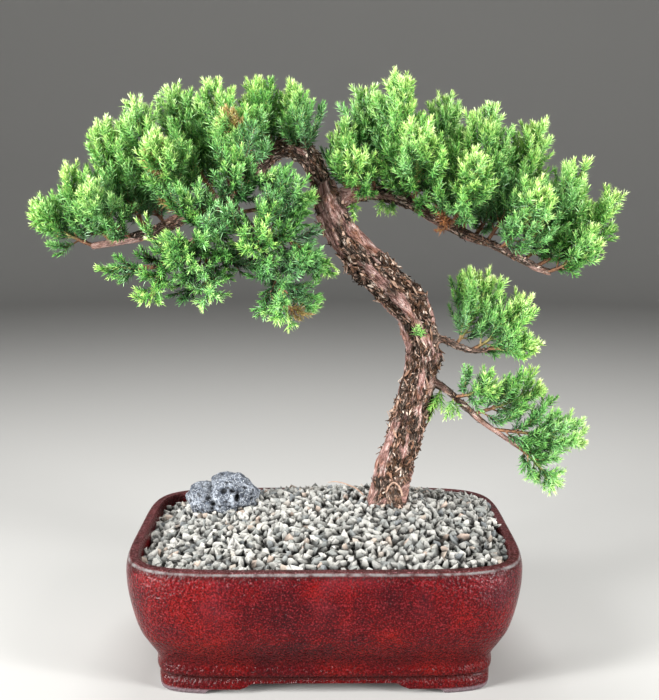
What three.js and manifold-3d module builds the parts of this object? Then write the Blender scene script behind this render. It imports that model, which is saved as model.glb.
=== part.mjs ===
// Procumbens nana juniper bonsai in a glazed stoneware pot, with gravel and a lava stone.
// Millimetres, +Z up. The origin is on the table, under the middle of the pot; -Y is the front.
import * as THREE from "three";
import { mergeVertices } from "three/addons/utils/BufferGeometryUtils.js";
import Module from "manifold-3d";

const wasm = await Module();
wasm.setup();

// Driving dimensions

const clearance = 0.4; // between a piece and what it rests in
const seatGap = 0.3; // between a piece and what it rests on

const pot = {
  length: 268,
  depth: 205,
  height: 91,
  squareness: 5.4, // exponent of the rim's superellipse outline
  wall: 9.5,
  floorTop: 18,
  underside: 8.2, // height of the hollow between the feet
  footStep: 3.8, // height of the small step beside each foot
  segments: 28,
};
// Half widths of the hollow, of the small steps and of the gap between the feet.
const arches = {
  front: { hollow: 47, step: 55, feet: 80 },
  side: { hollow: 24, step: 30, feet: 50 },
};
const drain = { radius: 9, apart: 92 };
const screen = { width: 32, thickness: 1, holes: 2, bar: 4 };
const bed = {
  edge: 85, // height of the gravel at the pot's wall
  rise: 17.5, // height of the mound over that
  crestX: 30,
  crestY: 38,
  gravelDepth: 7,
  soilStep: 50,
  stone: 12, // spacing of the stones, larger than life
  relief: 2.8,
  seed: 11,
};
const lava = { centre: [-74, 36, 102], size: [56, 42, 34], detail: 3 };
const needle = { length: 7.8, lean: 48, whorl: 7.2 };
const spray = {
  stem: 1.9, // radius where it leaves the limb
  core: 1.2,
  tipCore: 0.8,
  stemShare: 0.22, // where the lower side shoot leaves, as a share of the length
  fork: 9, // from the lower side shoot to the upper one
  needled: 28, // length of the needled end
  sideAngle: 62,
  sideReach: [26, 21], // the lower side shoot, then the upper one
  sideBare: 4.5,
  tip: 4.5,
};

const trunk = { rings: 24, sides: 10, buriedRings: 7, rootHeight: 96, thickLimb: 8, limbStep: 17 };

// Each limb is a path of [x, y, z, radius].
const trunkPath = [
  [46, 27, 62, 9],
  [47, 26, 80, 13.5],
  [47, 25, 94, 14.2],
  [48, 25, 106, 13.4],
  [51, 22, 126, 12.9],
  [59, 18, 155, 13],
  [66, 14, 182, 12.3],
  [71, 10, 209, 11.5],
  [69, 7, 227, 11.9],
  [60, 5, 248, 12.6],
  [40, 3, 269, 12.3],
  [18, 1, 292, 11.4],
  [7, 0, 313, 10.7],
  [3, 0, 328, 10],
];
const limbs = {
  left: [
    [3, 0, 320, 10],
    [-1, 2, 334, 8.2],
    [-6, 4, 345, 7.6],
    [-13, 6, 354, 7.2],
    [-23, 8, 359, 6.8],
    [-34, 10, 356, 6.2],
    [-43, 11, 348, 5.8],
    [-50, 12, 339, 5.4],
    [-75, 14, 323, 4.8],
    [-104, 14, 308, 4.4],
    [-120, 12, 301, 4],
    [-145, 10, 294, 3.2],
    [-163, 8, 291, 2.4],
  ],
  right: [
    [4, 0, 316, 8.5],
    [12, 2, 324, 6.5],
    [30, 4, 328, 5],
    [54, 5, 323, 4.6],
    [78, 4, 311, 4.2],
    [100, 2, 299, 3.6],
    [117, 0, 292, 3.2],
    [134, -2, 284, 2.8],
    [149, -3, 276, 2.5],
    [158, -3, 273, 2.2],
  ],
  front: [
    [-44, 9, 347, 4.6],
    [-52, -10, 337, 4.2],
    [-62, -30, 322, 3.8],
    [-74, -45, 304, 3.3],
    [-79, -51, 293, 2.8],
  ],
  frontLeft: [
    [-74, -45, 304, 3],
    [-92, -54, 293, 2.5],
    [-110, -59, 281, 2],
  ],
  frontRight: [
    [-62, -30, 322, 3],
    [-48, -42, 306, 2.7],
    [-34, -50, 286, 2.2],
  ],
  highSide: [
    [70, 8, 229, 3.6],
    [84, 6, 225, 3],
    [96, 2, 220, 2.5],
    [107, -2, 218, 2.1],
    [116, -4, 220, 1.7],
  ],
  lowSide: [
    [68, 13, 196, 3.8],
    [82, 10, 192, 3],
    [94, 6, 183, 2.6],
    [111, 2, 168, 2.2],
    [125, 0, 158, 1.9],
    [138, -2, 149, 1.6],
  ],
};

// The sprays of a pad leave their limb at even steps from one share of its length to another,
// and each ends at a tip [x, y, z].
const pads = [
  {
    name: "left_pad",
    limb: "left",
    from: 0.16,
    to: 0.99,
    tips: [
      [-22, 6, 408],
      [-29, 52, 392],
      [-51, 22, 408],
      [-66, -30, 380],
      [-79, 8, 408],
      [-93, 56, 394],
      [-111, 24, 405],
      [-116, -34, 364],
      [-133, 2, 393],
      [-150, 50, 364],
      [-158, 20, 380],
      [-160, -30, 334],
      [-181, 4, 345],
      [-204, 4, 319],
    ],
  },
  {
    name: "front_pad",
    limb: "front",
    from: 0.3,
    to: 0.98,
    tips: [
      [-33, -60, 341],
      [-58, -56, 347],
      [-87, -66, 317],
      [-91, -88, 287],
      [-72, -74, 257],
    ],
  },
  {
    name: "front_left_pad",
    limb: "frontLeft",
    from: 0.45,
    to: 0.98,
    tips: [
      [-120, -48, 300],
      [-112, -80, 256],
      [-149, -62, 281],
    ],
  },
  {
    name: "front_right_pad",
    limb: "frontRight",
    from: 0.2,
    to: 0.98,
    tips: [
      [-4, -54, 331],
      [12, -60, 278],
      [-42, -94, 296],
      [-22, -72, 244],
    ],
  },
  {
    name: "right_pad",
    limb: "right",
    from: 0.1,
    to: 0.985,
    tips: [
      [8, 2, 379],
      [19, -40, 353],
      [29, 14, 404],
      [46, 52, 392],
      [52, -8, 409],
      [62, -46, 372],
      [86, 18, 398],
      [96, 56, 380],
      [102, -48, 353],
      [116, -4, 391],
      [140, 50, 359],
      [152, 14, 379],
      [146, -42, 334],
      [181, -6, 349],
      [188, 38, 326],
      [205, 4, 326],
      [188, -24, 298],
    ],
  },
  {
    name: "high_side_pad",
    limb: "highSide",
    from: 0.5,
    to: 0.97,
    tips: [
      [119, 8, 273],
      [145, 4, 252],
      [151, -10, 223],
    ],
  },
  {
    name: "low_side_pad",
    limb: "lowSide",
    from: 0.34,
    to: 0.97,
    tips: [
      [121, -16, 196],
      [158, 12, 191],
      [189, -6, 152],
      [169, 0, 111],
    ],
  },
];

// Helpers

const vec = (x, y, z) => new THREE.Vector3(x, y, z);
const mix = (a, b, t) => a + (b - a) * t;

// A seeded stream of numbers from 0 to 1.
function draws(seed) {
  let state = (seed * 7919 + 17) % 2147483647;
  return () => {
    state = (state * 16807) % 2147483647;
    return state / 2147483647;
  };
}

function geometryOf(points, faces) {
  const geometry = new THREE.BufferGeometry();
  const numbers = points.flatMap((p) => [p.x, p.y, p.z]);
  geometry.setAttribute("position", new THREE.Float32BufferAttribute(numbers, 3));
  geometry.setIndex(faces.flat());
  return geometry;
}

function solidOf(geometry) {
  const bare = geometry.clone();
  bare.deleteAttribute("normal");
  bare.deleteAttribute("uv");
  const merged = mergeVertices(bare, 1e-4);
  return new wasm.Manifold(
    new wasm.Mesh({
      numProp: 3,
      vertProperties: new Float32Array(merged.attributes.position.array),
      triVerts: new Uint32Array(merged.index.array),
    }),
  );
}

function meshOf(name, solid, material) {
  const data = solid.getMesh();
  const geometry = new THREE.BufferGeometry();
  geometry.setAttribute("position", new THREE.Float32BufferAttribute(data.vertProperties, 3));
  geometry.setIndex([...data.triVerts]);
  geometry.computeVertexNormals();
  const mesh = new THREE.Mesh(geometry, material);
  mesh.name = name;
  return mesh;
}

// A closed skin over rings that hold the same number of points, with a fan at each end.
function loft(rings) {
  const count = rings[0].length;
  const points = rings.flat();
  const faces = [];
  for (let i = 0; i + 1 < rings.length; i++)
    for (let k = 0; k < count; k++) {
      const a = i * count + k;
      const b = i * count + ((k + 1) % count);
      faces.push([a, b, b + count], [a, b + count, a + count]);
    }
  const last = (rings.length - 1) * count;
  const middle = (ring) => ring.reduce((sum, p) => sum.add(p), vec(0, 0, 0)).divideScalar(count);
  points.push(middle(rings[0]), middle(rings[rings.length - 1]));
  for (let k = 0; k < count; k++) {
    const next = (k + 1) % count;
    faces.push([points.length - 2, next, k], [points.length - 1, last + k, last + next]);
  }
  return solidOf(geometryOf(points, faces));
}

// Points along a curve with a frame that turns as little as it can.
function stations(curve, count, from = 0, to = 1) {
  const list = [];
  let side = null;
  for (let i = 0; i <= count; i++) {
    const t = mix(from, to, i / count);
    const ahead = curve.getTangentAt(t).normalize();
    if (!side) side = Math.abs(ahead.z) < 0.9 ? vec(0, 0, 1) : vec(0, 1, 0);
    side = side.clone().addScaledVector(ahead, -side.dot(ahead)).normalize();
    list.push({ t, at: curve.getPointAt(t), ahead, side, up: ahead.clone().cross(side) });
  }
  return list;
}

function ringAt(station, sides, radiusAt, turn = 0) {
  return Array.from({ length: sides }, (_, k) => {
    const angle = turn + (k / sides) * Math.PI * 2;
    const radius = radiusAt(angle);
    return station.at
      .clone()
      .addScaledVector(station.side, radius * Math.cos(angle))
      .addScaledVector(station.up, radius * Math.sin(angle));
  });
}

// The pot

// The rim's outline, drawn in by an inset at right angles to it.
function potRing(inset, z) {
  const power = pot.squareness;
  const [halfX, halfY] = [pot.length / 2, pot.depth / 2];
  return Array.from({ length: pot.segments }, (_, k) => {
    const angle = (k / pot.segments) * Math.PI * 2;
    const [c, s] = [Math.cos(angle), Math.sin(angle)];
    const x = Math.sign(c) * Math.abs(c) ** (2 / power) * halfX;
    const y = Math.sign(s) * Math.abs(s) ** (2 / power) * halfY;
    const outX = (Math.sign(x) * Math.abs(x / halfX) ** (power - 1)) / halfX;
    const outY = (Math.sign(y) * Math.abs(y / halfY) ** (power - 1)) / halfY;
    const out = vec(outX, outY, 0).normalize();
    return vec(x, y, z).addScaledVector(out, -inset);
  });
}

// The wall's outside, from the foot up to the lip, as [inset from the rim, height].
const potOutside = [
  [22.5, 0],
  [21, 2],
  [21, 8.5],
  [22.6, 10.8],
  [20.2, 12.8],
  [19.4, 16],
  [20.2, 20],
  [17.8, 26],
  [13.2, 32.5],
  [8, 41],
  [3, 57],
  [0.4, 73],
  [0, pot.height - 3],
  [1.4, pot.height],
];
const potInside = [
  [pot.wall - 1, pot.height - 0.3],
  [pot.wall, pot.height - 2.5],
  [pot.wall + 2.5, 60],
  [pot.wall + 8, 36],
  [pot.wall + 17, pot.floorTop],
];

// A hollow under the pot, cut right through along Y, with a small step at each foot.
function archCut({ hollow, step, feet }, reach) {
  const right = [
    [feet, -1],
    [feet - 2, pot.footStep - 1],
    [feet - 5, pot.footStep],
    [step, pot.footStep],
    [hollow + 3, pot.underside - 1.5],
    [hollow, pot.underside],
  ];
  const left = right.map(([x, z]) => [-x, z]).reverse();
  const shape = new THREE.Shape([...right, ...left].map(([x, z]) => new THREE.Vector2(x, z)));
  const geometry = new THREE.ExtrudeGeometry(shape, { depth: reach, bevelEnabled: false });
  return geometry.translate(0, 0, -reach / 2).rotateX(Math.PI / 2);
}

function makePot() {
  const reach = 2 * pot.length;
  let body = loft([...potOutside, ...potInside].map(([inset, z]) => potRing(inset, z)));
  body = body.subtract(solidOf(archCut(arches.front, reach)));
  body = body.subtract(solidOf(archCut(arches.side, reach).rotateZ(Math.PI / 2)));
  for (const side of [-1, 1]) {
    const hole = new THREE.CylinderGeometry(drain.radius, drain.radius, 3 * pot.floorTop, 16);
    body = body.subtract(solidOf(hole.rotateX(Math.PI / 2).translate((side * drain.apart) / 2, 0, 0)));
  }
  return body;
}

// The room inside the pot, less the clearance.
function potRoom() {
  const [topInset] = potInside[1];
  const profile = [...potInside.slice(1).reverse(), [topInset, 2 * pot.height]];
  const rings = profile.map(([inset, z]) => potRing(inset + clearance, z));
  rings[0].forEach((p) => (p.z += seatGap));
  return loft(rings);
}

// A square of netting with rows of square holes.
function makeScreen(side) {
  const { width, thickness, holes, bar } = screen;
  const pitch = (width - bar) / holes;
  const plate = new THREE.BoxGeometry(width, width, thickness);
  const middle = vec((side * drain.apart) / 2, 0, pot.floorTop + seatGap + thickness / 2);
  let body = solidOf(plate.translate(middle.x, middle.y, middle.z));
  for (let i = 0; i < holes; i++)
    for (let j = 0; j < holes; j++) {
      const hole = new THREE.BoxGeometry(pitch - bar, pitch - bar, 3 * thickness);
      const x = middle.x + (i - (holes - 1) / 2) * pitch;
      const y = middle.y + (j - (holes - 1) / 2) * pitch;
      body = body.subtract(solidOf(hole.translate(x, y, middle.z)));
    }
  return body;
}

// Soil, gravel and the lava stone

// Height of the gravel's mound, highest behind the middle.
function moundAt(x, y) {
  const across = (x - bed.crestX * (1 - Math.abs(x) / pot.length)) / (pot.length / 2);
  const along = (y - bed.crestY) / (y > bed.crestY ? pot.depth / 2 - bed.crestY : pot.depth / 2 + bed.crestY);
  const fall = Math.min(1, Math.abs(across) ** 2.6 + Math.abs(along) ** 2.2);
  return bed.edge + bed.rise * (1 - fall);
}

// A block under a height field, on a grid whose odd rows are shifted by half a step.
function heightBlock(step, bottom, heightAt) {
  const columns = Math.ceil(pot.length / step);
  const rows = Math.ceil(pot.depth / (step * 0.87));
  const points = [];
  for (let j = 0; j <= rows; j++)
    for (let i = 0; i <= columns; i++) {
      const x = (i - columns / 2 + (j % 2 ? 0.25 : -0.25)) * step;
      const y = (j - rows / 2) * step * 0.87;
      points.push(vec(x, y, heightAt(x, y)));
    }
  const at = (i, j) => j * (columns + 1) + i;
  const faces = [];
  for (let j = 0; j < rows; j++)
    for (let i = 0; i < columns; i++) {
      const [a, b, c, d] = [at(i, j), at(i + 1, j), at(i + 1, j + 1), at(i, j + 1)];
      if (j % 2) faces.push([a, b, c], [a, c, d]);
      else faces.push([a, b, d], [b, c, d]);
    }
  const rim = [];
  for (let i = 0; i < columns; i++) rim.push(at(i, 0));
  for (let j = 0; j < rows; j++) rim.push(at(columns, j));
  for (let i = columns; i > 0; i--) rim.push(at(i, rows));
  for (let j = rows; j > 0; j--) rim.push(at(0, j));
  const start = points.length;
  rim.forEach((p) => points.push(vec(points[p].x, points[p].y, bottom)));
  points.push(vec(0, 0, bottom));
  rim.forEach((p, k) => {
    const next = (k + 1) % rim.length;
    faces.push([p, start + k, start + next], [p, start + next, rim[next]]);
    faces.push([points.length - 1, start + next, start + k]);
  });
  return solidOf(geometryOf(points, faces));
}

// Two lobes with a saddle between them, rough all over and flattened below.
function makeLava(grow = 0) {
  const ball = new THREE.IcosahedronGeometry(1, lava.detail);
  const place = ball.attributes.position;
  const p = vec(0, 0, 0);
  for (let i = 0; i < place.count; i++) {
    p.fromBufferAttribute(place, i);
    const saddle = 0.1 * Math.cos(3.1 * p.x + 0.8) * (1 - Math.abs(p.z));
    const lobes = 0.08 * Math.sin(4 * p.x + 2 * p.y);
    const rough = 0.045 * Math.sin(9 * p.x + 5) * Math.cos(8 * p.y) + 0.04 * Math.sin(11 * p.z + 5 * p.x);
    p.multiplyScalar(1 + saddle + lobes + rough);
    if (p.z < -0.55) p.z = -0.55 + (p.z + 0.55) * 0.2;
    const [x, y, z] = lava.centre.map((c, k) => c + p.getComponent(k) * (lava.size[k] / 2 + grow));
    place.setXYZ(i, x, y, z);
  }
  return solidOf(ball);
}

// The wood

function curveOf(path) {
  const points = path.map(([x, y, z]) => vec(x, y, z));
  return new THREE.CatmullRomCurve3(points, false, "centripetal");
}

function radiusAlong(path, curve, t) {
  const u = curve.getUtoTmapping(t) * (path.length - 1);
  const i = Math.min(path.length - 2, Math.floor(u));
  return mix(path[i][3], path[i + 1][3], u - i);
}

// The trunk's bark stands in ridges that wind slowly round it, and its foot spreads into roots.
function barkRadius(angle, share, radius, height) {
  const ridges = 0.055 * Math.sin(3 * angle + 9 * share) + 0.045 * Math.sin(5 * angle - 14 * share + 1);
  const roots = 0.1 * Math.max(0, 1 - Math.abs(height - trunk.rootHeight) / 16) * Math.sin(4 * angle + 0.6);
  return radius * (1 + ridges + roots);
}

function makeTrunkStem(grow = 0, rings = trunk.rings) {
  const curve = curveOf(trunkPath);
  const places = stations(curve, trunk.rings).slice(0, rings + 1);
  return loft(
    places.map((station) => {
      const radius = radiusAlong(trunkPath, curve, station.t);
      const radiusAt = (angle) => barkRadius(angle, station.t, radius, station.at.z) + grow;
      return ringAt(station, trunk.sides, radiusAt);
    }),
  );
}

function makeLimb(path, grow) {
  const curve = curveOf(path);
  const sides = path[0][3] > trunk.thickLimb ? 6 : 5;
  return loft(
    stations(curve, Math.round(curve.getLength() / trunk.limbStep)).map((station) => {
      const radius = radiusAlong(path, curve, station.t);
      const radiusAt = (angle) => radius * (1 + 0.09 * Math.sin(2 * angle + 15 * station.t)) + grow;
      return ringAt(station, sides, radiusAt);
    }),
  );
}

// The trunk and its limbs in one piece, swollen by a clearance where it is cut from its neighbours.
function makeWood(grow) {
  let body = makeTrunkStem(grow);
  for (const path of Object.values(limbs)) body = body.add(makeLimb(path, grow));
  return body;
}

// The sprays

// A stem leaves the limb outwards and turns up towards its tip.
function sprayCurve(base, tip) {
  const bend = vec(mix(base.x, tip.x, 0.6), mix(base.y, tip.y, 0.6), mix(base.z, tip.z, 0.34));
  return new THREE.QuadraticBezierCurve3(base, bend, tip);
}

const sprays = pads.flatMap((pad) => {
  const curve = curveOf(limbs[pad.limb]);
  return pad.tips.map((tip, i) => {
    const base = curve.getPointAt(mix(pad.from, pad.to, i / (pad.tips.length - 1)));
    const axis = sprayCurve(base, vec(...tip));
    const number = String(i + 1).padStart(2, "0");
    return { name: `${pad.name}_spray_${number}`, axis, index: i, length: axis.getLength(), sides: [] };
  });
});

// Every shoot's line, with the spray that it belongs to.
const lines = sprays.map((one) => lineOf(one, one.axis));

function lineOf(owner, curve) {
  return { owner, curve, points: curve.getSpacedPoints(Math.ceil(curve.getLength() / 2)) };
}

const woodPoints = [trunkPath, ...Object.values(limbs)].flatMap((path) => {
  const curve = curveOf(path);
  const count = Math.ceil(curve.getLength() / 2);
  return Array.from({ length: count + 1 }, (_, i) => {
    const t = i / count;
    return { at: curve.getPointAt(t), radius: radiusAlong(path, curve, t) * 1.12 };
  });
});

const nearest = (p, line) =>
  Math.sqrt(line.points.reduce((least, q) => Math.min(least, p.distanceToSquared(q)), Infinity));

const isOffWood = (p, room) => woodPoints.every(({ at, radius }) => p.distanceTo(at) > radius + room + 0.5);

// Whether a point of a shoot is on its own side of every other shoot, and clear of the wood.
function isFree(p, own, room) {
  const mine = nearest(p, own);
  const isOwnSide = lines.every(
    (other) => other === own || nearest(p, other) > mine + (other.owner === own.owner ? 0 : 2 * room),
  );
  return isOwnSide && isOffWood(p, room);
}

// How far a side shoot stays from every other shoot past its bare foot, or none where it is too near.
function roomRound(curve, one) {
  let room = Infinity;
  for (const share of [0.4, 0.6, 0.8, 1]) {
    const p = curve.getPointAt(share);
    if (!isOffWood(p, 2)) return 0;
    for (const other of lines) {
      const gap = nearest(p, other);
      if (gap < (other.owner === one ? 5 * share : 4.4)) return 0;
      if (other.owner !== one) room = Math.min(room, gap);
    }
  }
  return room;
}

// A side shoot leaves the stem outwards and bends upwards.
function sideCurve(one, k, turn, reach) {
  const t = spray.stemShare + (k * spray.fork) / one.length;
  const [station] = stations(one.axis, 1, t, t + 0.01);
  const out = station.side.clone().multiplyScalar(Math.cos(turn)).addScaledVector(station.up, Math.sin(turn));
  const lean = THREE.MathUtils.degToRad(spray.sideAngle);
  const aim = station.ahead.clone().multiplyScalar(Math.cos(lean)).addScaledVector(out, Math.sin(lean));
  const bend = station.at.clone().addScaledVector(aim, reach * 0.6);
  const end = bend.clone().addScaledVector(aim, reach * 0.25).addScaledVector(station.ahead, reach * 0.25);
  end.z += reach * 0.12;
  return new THREE.QuadraticBezierCurve3(station.at, bend, end);
}

// A side shoot takes the place round the stem with the most room, as long as it can be.
function addSideShoot(one, k) {
  for (const reach of [1, 0.8, 0.64]) {
    const places = Array.from({ length: 12 }, (_, i) => {
      const curve = sideCurve(one, k, (i * Math.PI) / 6, reach * spray.sideReach[k]);
      return { curve, room: roomRound(curve, one) };
    });
    const best = places.reduce((a, b) => (b.room > a.room ? b : a));
    if (best.room > 0) {
      const line = lineOf(one, best.curve);
      one.sides.push(line);
      lines.push(line);
      return;
    }
  }
}

for (const k of spray.sideReach.keys()) for (const one of sprays) addSideShoot(one, k);

function needleTip(own, points, face, frame) {
  const foot = face.reduce((sum, i) => sum.add(points[i]), vec(0, 0, 0)).divideScalar(3);
  const out = foot.clone().sub(frame.at);
  out.addScaledVector(frame.ahead, -out.dot(frame.ahead)).normalize();
  const lean = THREE.MathUtils.degToRad(needle.lean);
  const aim = frame.ahead.clone().multiplyScalar(Math.cos(lean)).addScaledVector(out, Math.sin(lean));
  for (const share of [1, 0.75, 0.5]) {
    const steps = [0.3, 0.65, 1].map((s) => foot.clone().addScaledVector(aim, s * share * needle.length));
    if (steps.every((p, i) => isFree(p, own, 0.45 - 0.12 * i))) return steps[2];
  }
  return null;
}

// A slim three-sided core through rings at [distance, radius]. Past the bare length, the six faces of
// each band are drawn out into a whorl of needles.
function makeShoot(own, rings, bareBands) {
  const total = own.curve.getLength();
  const points = [];
  const faces = [[0, 2, 1]];
  const frames = [];
  let side = null;
  rings.forEach(([distance, radius], j) => {
    const t = Math.min(1, distance / total);
    const ahead = own.curve.getTangentAt(t).normalize();
    if (!side) side = Math.abs(ahead.z) < 0.9 ? vec(0, 0, 1) : vec(0, 1, 0);
    side = side.clone().addScaledVector(ahead, -side.dot(ahead)).normalize();
    const station = { at: own.curve.getPointAt(t), ahead, side, up: ahead.clone().cross(side) };
    frames.push(station);
    points.push(...ringAt(station, 3, () => radius, (j * Math.PI) / 3));
  });
  for (let j = 0; j + 1 < rings.length; j++)
    for (let k = 0; k < 3; k++) {
      const a = j * 3 + k;
      const b = j * 3 + ((k + 1) % 3);
      for (const face of [[a, b, a + 3], [a + 3, b, b + 3]]) {
        const tip = j >= bareBands && needleTip(own, points, face, frames[j]);
        if (!tip) faces.push(face);
        else {
          const n = points.push(tip) - 1;
          faces.push([face[0], face[1], n], [face[1], face[2], n], [face[2], face[0], n]);
        }
      }
    }
  const top = (rings.length - 1) * 3;
  const final = frames[frames.length - 1];
  const last = points.push(final.at.clone().addScaledVector(final.ahead, spray.tip)) - 1;
  faces.push([top, top + 1, last], [top + 1, top + 2, last], [top + 2, top, last]);
  return solidOf(geometryOf(points, faces));
}

// Rings of the needled part, from one distance to another, with the core growing slimmer.
function whorlRings(from, to, core) {
  const count = Math.max(1, Math.ceil((to - from) / needle.whorl));
  const shares = Array.from({ length: count + 1 }, (_, i) => i / count);
  return shares.map((share) => [mix(from, to, share), mix(core, spray.tipCore, share)]);
}

function makeSpray(one, woodRoom) {
  const foot = one.length * spray.stemShare;
  const start = Math.max(foot + spray.fork + 2, one.length - spray.tip - spray.needled);
  const stem = [[0, spray.stem], [foot, mix(spray.stem, spray.core, 0.7)], [foot + spray.fork, spray.core]];
  const main = whorlRings(start, one.length - spray.tip, spray.core);
  const axis = lines.find(({ curve }) => curve === one.axis);
  let body = makeShoot(axis, [...stem, ...main], stem.length);
  for (const line of one.sides) {
    const rings = whorlRings(spray.sideBare, line.curve.getLength() - spray.tip, spray.tipCore);
    body = body.add(makeShoot(line, [[0, spray.tipCore], ...rings], 1));
  }
  return body.subtract(woodRoom).decompose().sort((a, b) => b.volume() - a.volume())[0];
}

// Materials

const glaze = new THREE.MeshStandardMaterial({ color: 0x7c1620, roughness: 0.18, metalness: 0 });
const bark = new THREE.MeshStandardMaterial({ color: 0x6b4a3c, roughness: 0.9, metalness: 0 });
const foliage = new THREE.MeshStandardMaterial({ color: 0x4f9a4e, roughness: 0.55, metalness: 0 });
const gravelGrey = new THREE.MeshStandardMaterial({ color: 0xa9a59b, roughness: 0.9, metalness: 0 });
const lavaGrey = new THREE.MeshStandardMaterial({ color: 0x8f959c, roughness: 0.85, metalness: 0 });
const earth = new THREE.MeshStandardMaterial({ color: 0x3b2c22, roughness: 1, metalness: 0 });
const netting = new THREE.MeshStandardMaterial({ color: 0x22252a, roughness: 0.6, metalness: 0 });

// Assembly

const bonsai = new THREE.Group();
bonsai.name = "procumbens_juniper_bonsai";

const room = potRoom();
const trunkHole = makeTrunkStem(clearance, trunk.buriedRings);
const screens = [-1, 1].map(makeScreen);
const pocket = makeLava(clearance);

let soil = heightBlock(bed.soilStep, 0, (x, y) => moundAt(x, y) - bed.gravelDepth);
soil = soil.intersect(room).subtract(trunkHole);
for (const side of [-1, 1]) {
  const width = screen.width + 2 * seatGap;
  const height = 2 * (screen.thickness + 2 * seatGap);
  const bay = new THREE.BoxGeometry(width, width, height);
  soil = soil.subtract(solidOf(bay.translate((side * drain.apart) / 2, 0, pot.floorTop)));
}

const shift = draws(bed.seed);
const chipsAt = (x, y) => moundAt(x, y) + (shift() - 0.5) * 2 * bed.relief;
const chips = heightBlock(bed.stone, bed.edge / 2, chipsAt);
const under = heightBlock(bed.soilStep, 0, (x, y) => moundAt(x, y) - bed.gravelDepth + seatGap);
const gravel = chips.intersect(room).subtract(under).subtract(trunkHole).subtract(pocket);

const wood = makeWood(0);
const woodRoom = makeWood(seatGap);

bonsai.add(meshOf("pot", makePot(), glaze));
bonsai.add(meshOf("drain_screen_left", screens[0], netting));
bonsai.add(meshOf("drain_screen_right", screens[1], netting));
bonsai.add(meshOf("soil", soil, earth));
bonsai.add(meshOf("gravel", gravel, gravelGrey));
bonsai.add(meshOf("lava_stone", makeLava(), lavaGrey));
bonsai.add(meshOf("trunk", wood, bark));
for (const one of sprays) bonsai.add(meshOf(one.name, makeSpray(one, woodRoom), foliage));

export default bonsai;
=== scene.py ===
# Procumbens nana juniper bonsai in a red glazed pot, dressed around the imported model.
# Metres, +Z up, the front towards -Y.
# Sizes that follow the solids are written in millimetres and scaled by mm.
import math

import bmesh
import bpy
import numpy as np
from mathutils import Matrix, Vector, noise
from mathutils.kdtree import KDTree


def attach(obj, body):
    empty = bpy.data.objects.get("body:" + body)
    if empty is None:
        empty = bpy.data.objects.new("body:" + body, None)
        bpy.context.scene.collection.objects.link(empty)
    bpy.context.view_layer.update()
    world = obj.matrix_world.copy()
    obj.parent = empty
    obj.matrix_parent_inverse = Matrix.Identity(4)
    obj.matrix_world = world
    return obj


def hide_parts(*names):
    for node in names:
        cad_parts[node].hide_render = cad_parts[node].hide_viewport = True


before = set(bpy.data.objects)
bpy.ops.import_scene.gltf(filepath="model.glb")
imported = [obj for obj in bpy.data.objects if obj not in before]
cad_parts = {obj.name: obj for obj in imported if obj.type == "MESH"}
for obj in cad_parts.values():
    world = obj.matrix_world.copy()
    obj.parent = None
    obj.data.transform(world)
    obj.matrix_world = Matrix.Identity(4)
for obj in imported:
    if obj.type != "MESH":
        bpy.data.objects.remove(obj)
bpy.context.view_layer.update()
mm = 0.001


# Helpers for nodes

# A socket takes a link from another socket, or a value of its own.
def setSocket(tree, socket, value):
    if isinstance(value, bpy.types.NodeSocket):
        tree.links.new(value, socket)
    else:
        socket.default_value = value


def addNode(tree, kind, inputs=None, **settings):
    node = tree.nodes.new(kind)
    for name, value in settings.items():
        setattr(node, name, value)
    for key, value in (inputs or {}).items():
        setSocket(tree, node.inputs[key], value)
    return node


def calc(tree, operation, *values):
    return addNode(tree, "ShaderNodeMath", dict(enumerate(values)), operation=operation).outputs[0]


def blendColour(tree, factor, first, second, how="MIX"):
    inputs = {0: factor, 6: first, 7: second}
    return addNode(tree, "ShaderNodeMix", inputs, data_type="RGBA", blend_type=how).outputs[2]


# A value moved from one range to another, held inside it.
def ranged(tree, value, low, high, toLow=0.0, toHigh=1.0):
    return addNode(tree, "ShaderNodeMapRange", {0: value, 1: low, 2: high, 3: toLow, 4: toHigh}).outputs[0]


# A linear colour from the six digits of a screen colour.
def paint(code):
    channels = [int(code[i:i + 2], 16) / 255 for i in (0, 2, 4)]
    return tuple(c / 12.92 if c <= 0.04045 else ((c + 0.055) / 1.055) ** 2.4 for c in channels) + (1,)


# A paint laid over a colour where a mask shows it, at a share of its strength.
def layOver(tree, colour, mask, strength, code):
    return blendColour(tree, calc(tree, "MULTIPLY", mask, strength), colour, paint(code))


def makeGroup(name, kind, inputs, outputs):
    tree = bpy.data.node_groups.new(name, kind)
    for label, socketKind, value in inputs:
        socket = tree.interface.new_socket(label, in_out="INPUT", socket_type="NodeSocket" + socketKind)
        if value is not None:
            socket.default_value = value
    for label, socketKind in outputs:
        tree.interface.new_socket(label, in_out="OUTPUT", socket_type="NodeSocket" + socketKind)
    return tree, tree.nodes.new("NodeGroupInput"), tree.nodes.new("NodeGroupOutput")


def newMaterial(name):
    material = bpy.data.materials.new(name)
    material.use_nodes = True
    tree = material.node_tree
    return material, tree, tree.nodes["Principled BSDF"]


def setSurface(tree, shader, colour, roughness, specular=0.5):
    setSocket(tree, shader.inputs["Base Color"], colour)
    setSocket(tree, shader.inputs["Roughness"], roughness)
    setSocket(tree, shader.inputs["Specular IOR Level"], specular)


def attributeOf(tree, name):
    return addNode(tree, "ShaderNodeAttribute", attribute_name=name).outputs["Fac"]


def placeOf(tree):
    return addNode(tree, "ShaderNodeTexCoord").outputs["Object"]


def rampOf(tree, value, stops):
    node = addNode(tree, "ShaderNodeValToRGB", {0: value})
    elements = node.color_ramp.elements
    while len(elements) < len(stops):
        elements.new(0.5)
    for element, (position, code) in zip(elements, stops):
        element.position = position
        element.color = paint(code)
    return node.outputs[0]


# Helpers for nodes that make shapes

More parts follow.
